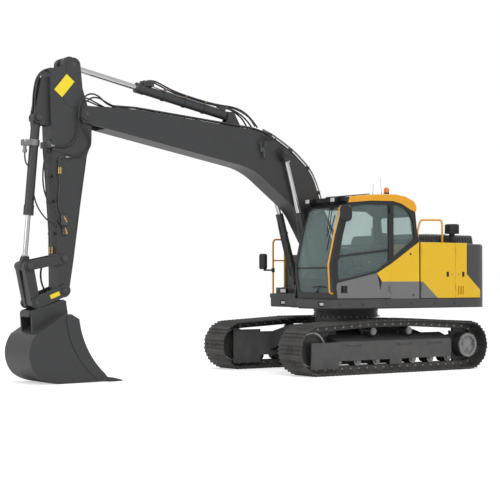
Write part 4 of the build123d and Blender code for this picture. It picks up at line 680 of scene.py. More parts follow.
def turned(name: str, rings: Sequence[Ring], sides: int = 16) -> Piece:
    """Turn a closed piece about +Z by extruding and resizing a circle.

    Args:
        name: the piece's name.
        rings: how far along the axis and the radius there, in millimetres.
        sides: sides of the circle; 6 makes a hexagon.

    Returns:
        The piece, with its first ring's plane at the origin.
    """
    clear()
    run, radius = rings[0]
    bpy.ops.mesh.primitive_circle_add(vertices=sides, radius=radius / 1000, fill_type="NGON")
    piece = bpy.context.active_object
    piece.name = name
    bpy.ops.object.mode_set(mode="EDIT")
    bpy.ops.mesh.select_mode(type="FACE")
    bpy.ops.mesh.select_all(action="SELECT")
    for next_run, next_radius in rings[1:]:
        step = (0.0, 0.0, (next_run - run) / 1000)
        bpy.ops.mesh.extrude_region_move(TRANSFORM_OT_translate={"value": step})
        share = next_radius / radius
        middle = (0.0, 0.0, (next_run - rings[0][0]) / 1000)
        bpy.ops.transform.resize(value=(share, share, 1.0), center_override=middle)
        run, radius = next_run, next_radius
    bpy.ops.mesh.select_all(action="SELECT")
    bpy.ops.mesh.normals_make_consistent(inside=False)
    bpy.ops.object.mode_set(mode="OBJECT")
    bpy.ops.object.shade_smooth_by_angle(angle=math.radians(EDGE_ANGLE))
    return piece


def band(inner: float, outer: float, half: float) -> Piece:
    """Turn an open ring about +Z, centred on the origin.

    Args:
        inner: its inner radius, in millimetres.
        outer: its outer radius.
        half: half its height.

    Returns:
        The ring.
    """
    piece = turned("band", ((-half, inner), (-half, outer), (half, outer), (half, inner)), ROUND)
    piece.data.transform(Matrix.Translation((0, 0, -half / 1000)))
    bpy.ops.object.mode_set(mode="EDIT")
    bpy.ops.mesh.select_all(action="DESELECT")
    bpy.ops.object.mode_set(mode="OBJECT")
    for face in piece.data.polygons:
        face.select = len(face.vertices) == ROUND
    bpy.ops.object.mode_set(mode="EDIT")
    bpy.ops.mesh.bridge_edge_loops()
    bpy.ops.mesh.select_all(action="SELECT")
    bpy.ops.mesh.normals_make_consistent(inside=False)
    bpy.ops.object.mode_set(mode="OBJECT")
    return piece


def block(name: str, size: Point, bevel: float = 4.0, segments: int = 2) -> Piece:
    """Make a block about the origin with rounded edges, its size and rounding in millimetres.

    Args:
        name: the piece's name.
        size: its length, width and height in millimetres.
        bevel: the rounding of its edges.
        segments: steps of the rounding.

    Returns:
        The block.
    """
    clear()
    bpy.ops.mesh.primitive_cube_add(size=1.0)
    piece = bpy.context.active_object
    piece.name = name
    bpy.ops.object.mode_set(mode="EDIT")
    bpy.ops.mesh.select_all(action="SELECT")
    bpy.ops.transform.resize(value=[length / 1000 for length in size], center_override=(0, 0, 0))
    bpy.ops.mesh.bevel(offset=bevel / 1000, segments=segments, affect="EDGES")
    bpy.ops.object.mode_set(mode="OBJECT")
    bpy.ops.object.shade_smooth_by_angle(angle=math.radians(EDGE_ANGLE))
    return piece


def hose(name: str, route: Sequence[Point], radius: float, order: int = 3) -> Piece:
    """Lay a hose along a smooth line.

    Args:
        name: the piece's name.
        route: the line's control points, in millimetres from the slew axis.
        radius: the hose's radius in millimetres.
        order: 3 for a hose, 2 for a pipe with straight runs.

    Returns:
        The hose as a closed mesh.
    """
    clear()
    bpy.ops.curve.primitive_nurbs_path_add()
    piece = bpy.context.active_object
    piece.name = name
    curve = piece.data
    curve.splines.clear()
    spline = curve.splines.new("NURBS")
    spline.points.add(len(route) - 1)
    for point, place in zip(spline.points, route):
        point.co = (*at(*place), 1.0)
    spline.order_u = order
    spline.use_endpoint_u = True
    spline.resolution_u = HOSE_STEPS if order > 2 else PIPE_STEPS
    curve.bevel_depth = radius / 1000
    curve.bevel_resolution = 2
    curve.use_fill_caps = True
    bpy.ops.object.convert(target="MESH")
    piece = bpy.context.active_object
    bpy.ops.object.shade_smooth_by_angle(angle=math.radians(HOSE_ANGLE))
    return piece


def put(piece: Piece, place: Vector, axis: Vector | Point = (0, 0, 1)) -> Piece:
    """Move a piece's mesh so that its origin is at a place and its +Z runs along an axis.

    Args:
        piece: the piece.
        place: where its origin goes.
        axis: the way its +Z then runs.

    Returns:
        The piece.
    """
    turn = Vector(axis).to_track_quat("Z", "Y").to_matrix().to_4x4()
    piece.data.transform(Matrix.Translation(place) @ turn)
    return piece


def tilted(piece: Piece, place: Vector, degrees: float, axis: str = "Y") -> Piece:
    """Turn a piece's mesh about an axis through its origin and move it to a place."""
    piece.data.transform(Matrix.Translation(place) @ Matrix.Rotation(math.radians(degrees), 4, axis))
    return piece


def scatter(piece: Piece, spots: Sequence[Spot]) -> Piece:
    """Copy a piece to every spot, each copy with its own mesh, and join them as one piece.

    Args:
        piece: the piece, which its copies take the place of.
        spots: each copy's place and axis.

    Returns:
        The copies as one piece, under the piece's name.
    """
    copies = []
    for place, axis in spots:
        copy = piece.copy()
        copy.data = piece.data.copy()
        bpy.context.scene.collection.objects.link(copy)
        copies.append(put(copy, place, axis))
    name = piece.name
    bpy.data.objects.remove(piece)
    return joined(name, copies)


def joined(name: str, pieces: Sequence[Piece]) -> Piece:
    """Join pieces into one object.

    Args:
        name: the name of the whole.
        pieces: the pieces, at least one.

    Returns:
        The whole.
    """
    clear()
    for piece in pieces:
        piece.select_set(True)
    bpy.context.view_layer.objects.active = pieces[0]
    if len(pieces) > 1:
        bpy.ops.object.join()
    whole = bpy.context.active_object
    whole.name = name
    return whole


def both_faces(places: Sequence[tuple[float, float]], left: float, right: float) -> list[Spot]:
    """Give spots on the left and the right face at each place of the side view."""
    return [spot for x, z in places for spot in ((at(x, left, z), LEFT), (at(x, right, z), RIGHT))]


def beside(foot: Vector, lean: Vector, over: Vector, steps: Sequence[Point]) -> list[Point]:
    """Give control points beside a cylinder.

    Args:
        foot: where the cylinder starts.
        lean: the way it runs.
        over: the way from it to the points.
        steps: distance along it, distance from its axis, and y.

    Returns:
        The points in millimetres from the slew axis.
    """
    return [local(foot + lean * run / 1000 + over * rise / 1000, y) for run, rise, y in steps]


@dataclass(frozen=True)
class HoseRun:
    """One hose or pipe of a table.

    Attributes:
        name: its name.
        radius: its radius in millimetres.
        route: its control points.
        kit: its finish.
    """

    name: str
    radius: float
    route: tuple[Point, ...]
    kit: Kit = Kit.RUBBER


@dataclass
class Fitter:
    """Finishes new pieces and hangs them on their bodies; each group of pieces is built on it.

    Attributes:
        finishes: the finishes by kit.
    """

    finishes: dict[Kit, Finish]

    def paint(self, piece: Piece, kit: Kit) -> None:
        """Give a piece its finish.

        Args:
            piece: the piece.
            kit: its finish.
        """
        piece.data.materials.clear()
        piece.data.materials.append(self.finishes[kit].material)

    def ride(self, piece: Piece, kit: Kit, body: str) -> None:
        """Paint a piece and make it ride on a body.

        Args:
            piece: the piece.
            kit: its finish.
            body: the body.
        """
        self.paint(piece, kit)
        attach(piece, body)
        LOG.info("%s rides on %s", piece.name, body)

    def group(self, name: str, pieces: Sequence[Piece], kit: Kit, body: str) -> None:
        """Join pieces and make them ride on a body as one."""
        self.ride(joined(name, pieces), kit, body)

    def cross(self, run: HoseRun, bodies: tuple[str, str], start: Point, end: Point) -> None:
        """Lay a hose between two bodies; its mesh is baked where it lies and it rides on no body.

        Args:
            run: the hose.
            bodies: the body that it leaves and the one that it reaches.
            start: not used.
            end: not used.
        """
        piece = hose(run.name, run.route, run.radius)
        self.paint(piece, run.kit)
        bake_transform(piece)
        LOG.info("%s bends from %s to %s", piece.name, *bodies)

    def lay(self, run: HoseRun, body: str) -> None:
        """Lay a hose on one body."""
        self.ride(hose(run.name, run.route, run.radius), run.kit, body)

    def studs(
        self, name: str, rings: Sequence[Ring], sides: int, spots: Sequence[Spot], kit: Kit, body: str
    ) -> None:
        """Turn a small piece, copy it to every spot and make the copies ride on a body as one.

        Args:
            name: the name of the copies together.
            rings: the piece's rings, as turned takes them.
            sides: sides of its circle.
            spots: where the copies stand.
            kit: their finish.
            body: the body that they ride on.
        """
        self.ride(scatter(turned(name, rings, sides), spots), kit, body)


@dataclass
class TrackHardware(Fitter):
    """Bolts, nuts and pin ends of both tracks, and the bolts of what they run on.

    Attributes:
        wheel: the idler's centre; the sprocket's is as far behind.
        circle: the radius of the pins round them.
        carrier: the front carrier roller's centre.
        carrier_line: the radius of the pins over it.
        shoes: how many shoes a track has.
        half_gauge: from the machine's middle to a track's.
        face: from the pins to a shoe's outer face.
        link_face: from the pins to the nuts' seats.
        arc_steps: fine steps of each arc.
    """

    wheel: tuple[float, float] = (1640.0, 415.0)
    circle: float = 328.0
    carrier: tuple[float, float] = (390.0, 690.0)
    carrier_line: float = 118.3
    shoes: int = 49
    half_gauge: float = 1100.0
    face: float = 62.0
    link_face: float = 50.0
    arc_steps: int = 60

    def runs(self) -> list[tuple[Vector, float, float, float]]:
        """Give the loop's arcs as centre, radius, start angle and sweep, which straight runs join.

        Returns:
            Each arc's centre, radius, start angle and sweep.
        """
        far = (self.wheel[0] - self.carrier[0], self.wheel[1] - self.carrier[1])
        span = math.hypot(*far)
        rise = math.acos((self.carrier_line - self.circle) / span) + math.atan2(far[1], far[0])
        half = math.pi / 2
        front, rear = Vector(self.wheel), Vector((-self.wheel[0], self.wheel[1]))
        near, back = Vector(self.carrier), Vector((-self.carrier[0], self.carrier[1]))
        return [
            (front, self.circle, -half, half + rise),
            (near, self.carrier_line, rise, half - rise),
            (back, self.carrier_line, half, half - rise),
            (rear, self.circle, math.pi - rise, half + rise),
        ]

    def line(self) -> list[tuple[Vector, Vector, float]]:
        """Give fine steps of the loop: a point, its outward direction and the distance walked.

        Returns:
            Each step's point, outward direction and distance walked.
        """
        steps: list[tuple[Vector, Vector]] = []
        for centre, radius, start, sweep in self.runs():
            for index in range(self.arc_steps + 1):
                angle = start + sweep * index / self.arc_steps
                outward = Vector((math.cos(angle), math.sin(angle)))
                steps.append((centre + outward * radius, outward))
        steps.append((Vector((self.wheel[0], self.wheel[1] - self.circle)), Vector((0, -1))))
        walked = 0.0
        line = [(*steps[0], 0.0)]
        for (place, _), (onward, outward) in zip(steps, steps[1:]):
            walked += (onward - place).length
            line.append((onward, outward, walked))
        return line

    def spots(self, shift: float) -> list[tuple[Vector, Vector]]:
        """Give every shoe's place and outward direction, shifted by a share of the pitch.

        Args:
            shift: how far along from the shoe's middle, as a share of the pitch.

        Returns:
            Each place on the loop with its outward direction.
        """
        line = self.line()
        pitch = line[-1][2] / self.shoes
        found = []
        for shoe in range(self.shoes):
            goal = (shoe + shift) * pitch
            for (place, outward, walked), (onward, later, end) in zip(line, line[1:]):
                if walked <= goal <= end and end > walked:
                    share = (goal - walked) / (end - walked)
                    found.append((place.lerp(onward, share), outward.lerp(later, share).normalized()))
                    break
        return found

    def shoe_bolts(self, side: str, sign: int) -> None:
        """Bolt each shoe to its links, with heads outside and nuts within.

        Args:
            side: the track's side, for the piece's name.
            sign: 1 on the left, -1 on the right.
        """
        heads: list[Spot] = []
        nuts: list[Spot] = []
        # Columns: which bolts, their distance from the pins, their places across, the way they point
        table = ((heads, self.face, (-57, 57), 1), (nuts, self.link_face, (-96, 96), -1))
        for place, outward in self.spots(0.0):
            ahead = Vector((outward.y, -outward.x))
            out3 = Vector((outward.x, 0, outward.y))
            for run in (-30, 30):
                for found, lift, places, way in table:
                    spot = place + ahead * run + outward * lift
                    for across in places:
                        found.append((at(spot.x, sign * self.half_gauge + across, spot.y), out3 * way))
        self.studs(f"shoe_bolts_{side}", HEX_HEAD, 6, heads, Kit.STEEL, "undercarriage")
        self.studs(f"shoe_nuts_{side}", HEX_HEAD, 6, nuts, Kit.MACHINED, "undercarriage")

    def pin_ends(self, side: str, sign: int) -> None:
        """Show the ends of the chain's pins outside both link rails.

        Args:
            side: the track's side, for the piece's name.
            sign: 1 on the left, -1 on the right.
        """
        spots: list[Spot] = []
        for place, _ in self.spots(0.5):
            for across, axis in ((75, LEFT), (-75, RIGHT)):
                spots.append((at(place.x, sign * self.half_gauge + across, place.y), axis))
        self.studs(f"chain_pins_{side}", LINK_PIN, 12, spots, Kit.MACHINED, "undercarriage")

    def drive_bolts(self, side: str, sign: int) -> None:
        """Ring the final drive's cover and its flange with bolts.

        Args:
            side: the track's side, for the piece's name.
            sign: 1 on the left, -1 on the right.
        """
        spots = []
        # Columns: how many bolts, their circle's radius, their distance from the track's middle
        for count, radius, across in ((12, 128, 236), (24, 184, 210)):
            for index in range(count):
                angle = 2 * math.pi * (index + 0.5) / count
                x = -self.wheel[0] + radius * math.cos(angle)
                z = self.wheel[1] + radius * math.sin(angle)
                spots.append((at(x, sign * (self.half_gauge + across), z), LEFT * sign))
        self.studs(f"drive_bolts_{side}", HEX_HEAD, 6, spots, Kit.MACHINED, "undercarriage")

    def carrier_caps(self, side: str, sign: int) -> None:
        """Cap the carrier rollers.

        Args:
            side: the track's side, for the piece's name.
            sign: 1 on the left, -1 on the right.
        """
        y = sign * (self.half_gauge + 112)
        spots = [(at(x, y, self.carrier[1]), LEFT * sign) for x in (-self.carrier[0], self.carrier[0])]
        self.studs(f"carrier_caps_{side}", ROLLER_CAP, ROUND, spots, Kit.MACHINED, "undercarriage")

    def build(self) -> None:
        """Fit both tracks."""
        for side, sign in (("left", 1), ("right", -1)):
            self.shoe_bolts(side, sign)
            self.pin_ends(side, sign)
            self.drive_bolts(side, sign)
            self.carrier_caps(side, sign)


@dataclass
class SlewBolts(Fitter):
    """The row of bolts round the slewing ring.

    Attributes:
        reach: the radius of the bolts' circle.
        seat: the height that they stand at.
        count: how many there are.
    """

    reach: float = 580.0
    seat: float = 905.0
    count: int = 36

    def build(self) -> None:
        """Stand the bolts on the car body, round the ring."""
        spots = []
        for index in range(self.count):
            angle = 2 * math.pi * index / self.count
            place = at(self.reach * math.cos(angle), self.reach * math.sin(angle), self.seat)
            spots.append((place, UP))
        self.studs("ring_bolts", WASHER_HEAD, 12, spots, Kit.MACHINED, "undercarriage")


# Hoses from the boom's nose over to the arm's left side, in the order that they cross
ARM_HOSES = (
    HoseRun("arm_hose_upper", 13, (
        (4650, 6, 4236), (4760, 20, 4262), (4900, 62, 4365), (5060, 110, 4392), (5190, 132, 4330),
        (5275, 132, 4180), (5290, 128, 3990), (5262, 112, 3850), (5318, 92, 3660), (5440, 86, 3556),
        (5600, 84, 3540), (5726, 60, 3560),
    )),
    HoseRun("arm_hose_lower", 13, (
        (4650, 46, 4236), (4770, 70, 4270), (4920, 112, 4330), (5080, 138, 4325), (5210, 138, 4200),
        (5245, 136, 4010), (5160, 128, 3850), (5058, 104, 3690), (5070, 90, 3560), (5170, 84, 3455),
        (5320, 82, 3404), (5480, 82, 3394),
    )),
    HoseRun("nose_hose_far", 12, (
        (4650, -206, 4236), (4790, -212, 4290), (4960, -222, 4370), (5130, -232, 4350), (5270, -238, 4230),
        (5330, -246, 4080), (5330, -262, 3900),
    )),
    HoseRun("nose_hose_middle", 12, (
        (4650, -246, 4236), (4780, -256, 4272), (4930, -300, 4340), (5080, -332, 4330), (5200, -338, 4210),
        (5240, -336, 4010), (5200, -310, 3830), (5220, -284, 3640), (5340, -280, 3500),
    )),
)

# Steel pipes and a hose on the arm, from the hoses' ends to the fittings by the bucket's linkage
ARM_PIPES = (
    HoseRun("arm_side_pipe", 10, (
        (5470, 82, 3394), (5560, 82, 3394), (5588, 82, 3360), (5588, 80, 3110), (5566, 76, 2990),
        (5592, 74, 2800), (5586, 74, 2640), (5560, 74, 2550), (5490, 74, 2462),
    ), Kit.GREY),
    HoseRun("arm_front_pipe_left", 9, (
        (5742, -36, 3540), (5722, -44, 3340), (5696, -50, 3000), (5668, -56, 2620), (5650, -60, 2340),
        (5622, -62, 1960),
    ), Kit.GREY),
    HoseRun("arm_front_pipe_right", 9, (
        (5742, -150, 3540), (5722, -150, 3340), (5696, -150, 3000), (5668, -146, 2620), (5650, -142, 2340),
        (5622, -140, 1960),
    ), Kit.GREY),
    HoseRun("arm_side_hose", 12, (
        (5760, 30, 3536), (5800, 16, 3350), (5822, 4, 3080), (5800, 20, 2850), (5720, 64, 2640),
        (5600, 84, 2440), (5480, 84, 2290),
    )),
)
GLAND_HOSE = HoseRun("gland_hose", 12, (
    (5946, -30, 2820), (5930, -10, 2700), (5860, 8, 2560), (5760, 30, 2440), (5640, 34, 2370),
    (5600, 20, 2330),
))
VALVE_HOSE = HoseRun("valve_hose", 12, (
    (6062, -100, 3452), (6064, -100, 3380), (6050, -100, 3300), (6012, -96, 3250), (5998, -90, 3240),
))

# Hoses from the boom's pipes to the arm cylinder: to its gland and to its base
STICK_HOSES = (
    HoseRun("stick_hose_left", 14, (
        (3960, -56, 4690), (3860, -54, 4712), (3700, -56, 4650), (3480, -58, 4568), (3200, -60, 4506),
        (2880, -60, 4446), (2600, -56, 4410), (2340, -40, 4400), (2130, -26, 4330), (1960, -16, 4190),
        (1880, -10, 4085),
    )),
    HoseRun("stick_hose_right", 14, (
        (3960, -144, 4690), (3860, -146, 4712), (3700, -144, 4650), (3480, -142, 4568), (3200, -140, 4506),
        (2880, -140, 4446), (2600, -144, 4410), (2340, -160, 4390), (2110, -172, 4310), (1930, -184, 4180),
        (1850, -190, 4078),
    )),
    HoseRun("base_hose_left", 14, (
        (2520, -70, 4350), (2440, -60, 4392), (2280, -44, 4370), (2080, 10, 4262), (1990, 30, 4150),
        (1960, 36, 4092),
    )),
    HoseRun("base_hose_right", 14, (
        (2520, -130, 4350), (2440, -140, 4392), (2270, -160, 4352), (2060, -206, 4250), (1960, -226, 4140),
        (1930, -232, 4086),
    )),
)


@dataclass
class ArmDress(Fitter):
    """Hoses, pipes, fittings, plate and pin heads of the arm and its cylinder.

    Attributes:
        curl_eye: the bucket cylinder's upper eye in side view.
        link_eye: its lower eye.
    """

    curl_eye: tuple[float, float] = (5881.0, 3975.0)
    link_eye: tuple[float, float] = (6065.0, 1748.0)

    def hoses(self) -> None:
        """Hang the hoses from the boom's nose to the arm, and lay the arm's own."""
        for run in ARM_HOSES:
            self.cross(run, ("boom", "arm"), (5120, 0, 4340), (5240, 0, 3760))
        for run in ARM_PIPES:
            self.lay(run, "arm")
        line = ((5640, 4740), (5740, 4728), (5860, 4600), (5905, 4400), (5918, 4200), (5922, 4050))
        for index, shift in enumerate((-34, 34)):
            run = HoseRun(f"head_hose_{index}", 14, tuple((x, BOOM_Y + shift, z) for x, z in line))
            self.cross(run, ("arm", "bucket_cylinder_barrel"), (5890, 0, 4500), (5920, 0, 4120))
        self.cross(GLAND_HOSE, ("bucket_cylinder_barrel", "arm"), (5930, 0, 2700), (5700, 0, 2400))

    def fittings(self) -> None:
        """Fit the couplings, blocks, collars and clamps at the hoses' ends."""
        down = Vector((0, 0, -1))
        spots: list[Spot] = [
            (at(5588, 80, 3236), down),
            (at(5566, 98, 3236), down),
            (at(5500, 74, 2500), Vector((-0.5, 0, -0.87))),
            (at(5486, 84, 2330), Vector((-0.35, 0, -0.94))),
            (at(5624, -60, 2040), down),
            (at(5624, -140, 2040), down),
        ]
        self.studs("arm_couplings", BRASS_FITTING, 12, spots, Kit.BRASS, "arm")
        collars: list[Spot] = [
            (at(5480, 82, 3394), Vector((-1, 0, 0))),
            (at(5726, 60, 3560), Vector((-1, 0.25, -0.1))),
        ]
        self.studs("arm_collars", COLLAR, 12, collars, Kit.MACHINED, "arm")
        # Columns: name, finish, then each block's size, rounding and place
        table = (
            ("arm_front_block", Kit.GREY, (
                ((84, 250, 96), 8, (5738, -46, 3572)),
                ((40, 150, 200), 6, (5702, -70, 3560)),
            )),
            ("arm_side_blocks", Kit.GREY, (
                ((120, 34, 150), 6, (5490, 68, 2440)),
                ((90, 30, 110), 6, (5478, 68, 2270)),
            )),
            ("arm_pipe_clamps", Kit.CHARCOAL, (
                ((36, 170, 40), 5, (5682, -98, 3100)),
                ((36, 170, 40), 5, (5654, -98, 2720)),
                ((36, 170, 40), 5, (5624, -98, 2240)),
                ((44, 40, 34), 5, (5589, 72, 3330)),
                ((44, 40, 34), 5, (5590, 72, 2760)),
            )),
        )
        for name, kit, blocks in table:
            pieces = [put(block(name, size, bevel), at(*place)) for size, bevel, place in blocks]
            self.group(name, pieces, kit, "arm")

    def pins(self) -> None:
        """Head the pins of the boom, the arm and their cylinders on both sides."""
        # Columns: name, body, place, the left face's y and the right face's, rings
        table = (
            ("nose_pins", "boom", (5130, 4063), 105, -305, PIN_HEAD),
            ("head_pins", "arm", (5335, 4805), 60, -260, SMALL_PIN_HEAD),
            ("curl_pins", "arm", self.curl_eye, 8, -208, SMALL_PIN_HEAD),
            ("lift_eye_pins", "boom", (1455, 3670), 216, -416, SMALL_PIN_HEAD),
            ("lift_foot_pins", "upper", (790, 1420), 216, -416, SMALL_PIN_HEAD),
        )
        for name, body, place, left, right, rings in table:
            self.studs(name, rings, ROUND, both_faces([place], left, right), Kit.GREY, body)

    def cylinder(self) -> None:
        """Clamp the pale valve block round the bucket cylinder's barrel."""
        top = at(self.curl_eye[0], BOOM_Y, self.curl_eye[1])
        run = (at(self.link_eye[0], BOOM_Y, self.link_eye[1]) - top).normalized()
        middle = top + run * 0.380
        ring = put(band(70, 84, 46), middle, run)
        body = put(block("valve_body", (150, 120, 92), 10), middle + Vector((0.118, 0, 0)))
        cap = put(turned("valve_cap", VALVE_CAP), middle + Vector((0.15, 0, -0.04)), (0, 0, -1))
        self.group("curl_valve", [ring, body, cap], Kit.MACHINED, "bucket_cylinder_barrel")
        self.lay(VALVE_HOSE, "bucket_cylinder_barrel")

    def build(self) -> None:
        """Dress the arm."""
        self.hoses()
        self.fittings()
        plate = tilted(block("head_plate", (326, 3, 170), 1.2, 1), at(5494, 67.5, 4476), 50.6)
        self.ride(plate, Kit.PLATE, "arm")
        self.pins()
        self.cylinder()


@dataclass
class BoomDress(Fitter):
    """Hoses, fittings and pipes of the boom and its cylinders."""

    def stick(self) -> None:
        """Hang the arm cylinder's hoses, its gland block, its pipe and its clamps."""
        body = "arm_cylinder_barrel"
        for run in STICK_HOSES:
            self.cross(run, (body, "boom"), (2480, 0, 4380), (2060, 0, 4280))
        gland = put(block("gland_block", (190, 150, 90), 10), at(3960, BOOM_Y, 4650))
        ports = [put(turned("port", COLLAR, 12), at(3975, y, 4690), (-1, 0, 0.1)) for y in (-144, -56)]
        self.group("stick_gland_block", [gland, *ports], Kit.CHARCOAL, body)
        base = put(block("base_block", (120, 120, 70), 8), at(2550, BOOM_Y, 4362))
        self.ride(base, Kit.CHARCOAL, body)
        lean = Vector((2946, 0, 568)).normalized()
        over = Vector((-lean.z, 0, lean.x))
        foot = at(2389, 0, 4237)
        line = beside(foot, lean, over, ((260, 60, -40), (420, 62, -28), (1500, 62, -28), (1570, 90, -40)))
        self.ride(hose("stick_pipe", line, 10), Kit.MACHINED, body)
        clamps = []
        clips = []
        for run in (520, 900, 1300):
            spot = foot + lean * run / 1000 + Vector((0, BOOM_Y / 1000, 0))
            clamps.append(put(band(77, 86, 16), spot, lean))
            clamps.append(put(block("saddle", (40, 120, 30), 5), spot + over * 0.088))
            clips.append(put(block("clip", (22, 26, 18), 4), spot + over * 0.104 + Vector((0, 0.058, 0))))
        self.group("stick_clamps", clamps, Kit.CHARCOAL, body)
        self.group("stick_clips", clips, Kit.BRASS, body)

    def side(self) -> None:
        """Fit the small block on the boom's left side, with its hoses over the back."""
        body = put(block("relief_block", (96, 50, 80), 8), at(1870, 122, 3700))
        spots = ((1900, 3740, (0.3, 0.1, 1)), (1835, 3740, (-0.3, 0.1, 1)), (1850, 3662, (0, 0.1, -1)))
        ports = [put(turned("port", BRASS_FITTING, 12), at(x, 140, z), axis) for x, z, axis in spots]
        self.group("boom_side_block", [body, *ports], Kit.GREY, "boom")
        for index, (x, end, top) in enumerate(((1925, 1675, 3966), (1808, 1558, 3900))):
            route = (
                (x, 150, 3836),
                (x - 16, 148, 3872),
                (x - 90, 138, 3906),
                (end + 70, 128, top - 6),
                (end + 20, 112, top + 16),
                (end, 84, top + 16),
            )
            self.lay(HoseRun(f"boom_side_hose_{index}", 10, route), "boom")

    def edge(self) -> None:
        """Run two bright pipes with their brackets down the near edge of the boom's back."""
        web = bpy.data.objects["boom"]
        way = Vector((0.72, 0, -0.69)).normalized()
        places = []
        for step in range(12):
            found, place, _, _ = web.ray_cast(at(1250 - step * 96, 60, 4600 - step * 120), way)
            if found:
                places.append(place)
        for index, (y, rise) in enumerate(((92, 38), (62, 60))):
            route = [local(spot, y, -rise, rise) for spot in places]
            self.lay(HoseRun(f"boom_edge_pipe_{index}", 10, tuple(route), Kit.MACHINED), "boom")
        lift = Vector((-0.024, 0.017, 0.024))
        brackets = [put(block("bracket", (60, 74, 60), 6), spot + lift) for spot in places[1::3]]
        self.group("boom_edge_brackets", brackets, Kit.CHARCOAL, "boom")

    def foot(self) -> None:
        """Lead four hoses from the boom's pipes down to the deck behind its foot."""
        # Columns: a hose's y at the boom and at the deck
        for index, (y, drop) in enumerate(((46, -40), (6, -80), (-206, -140), (-246, -180))):
            route = (
                (650, y, 2990), (606, y, 2870), (470, y, 2640), (250, (y + drop) / 2, 2350),
                (40, drop, 2000), (-60, drop, 1680), (-80, drop, 1420), (-80, drop, 1270),
            )
            run = HoseRun(f"foot_hose_{index}", 16, route)
            self.cross(run, ("boom", "upper"), (520, 0, 2760), (0, 0, 1760))
        manifold = put(block("manifold", (150, 260, 90), 10), at(-80, -110, 1262))
        self.ride(manifold, Kit.GREY, "upper")

    def lift(self) -> None:
        """Run a steel pipe along each boom cylinder's barrel."""
        lean = Vector((1455 - 790, 0, 3670 - 1420)).normalized()
        across = Vector((lean.z, 0, -lean.x))
        pieces = []
        for y in (176, -376):
            foot = at(790, y, 1420)
            steps = ((210, 66, y), (260, 82, y), (1150, 82, y), (1210, 62, y))
            pieces.append(hose("lift_pipe", beside(foot, lean, across, steps), 10))
            for run in (420, 960):
                pieces.append(put(band(65, 74, 14), foot + lean * run / 1000, lean))
        self.group("lift_pipes", pieces, Kit.GREY, "boom_cylinder_barrels")

    def build(self) -> None:
        """Dress the boom."""
        self.stick()
        self.side()
        self.edge()
        self.foot()
        self.lift()


@dataclass
class BucketDress(Fitter):
    """Plate, pin heads and hoses of the bucket's end."""

    def build(self) -> None:
        """Dress the coupler and the links."""
        plate = tilted(block("coupler_plate", (164, 3, 66), 1.2, 1), at(5655, 101.5, 1312), 21.4)
        self.ride(plate, Kit.PLATE, "bucket")
        # Columns: name, body, places, the left face's y and the right face's
        table = (
            ("link_pins", "guide_links", ((5508, 1862), (6065, 1748)), 129.3, -329.3),
            ("coupler_pins", "bucket", ((5483, 1382), (5949, 1199)), 100, -300),
        )
        for name, body, places, left, right in table:
            self.studs(name, SMALL_PIN_HEAD, ROUND, both_faces(places, left, right), Kit.GREY, body)
        line = (
            (5620, 1900), (5690, 1880), (5790, 1740), (5800, 1560), (5752, 1420), (5700, 1330), (5690, 1290)
        )
        for index, y in enumerate((-84, -116)):
            run = HoseRun(f"coupler_hose_{index}", 8, tuple((x, y, z) for x, z in line))
            self.cross(run, ("arm", "bucket"), (5700, 0, 1800), (5700, 0, 1360))


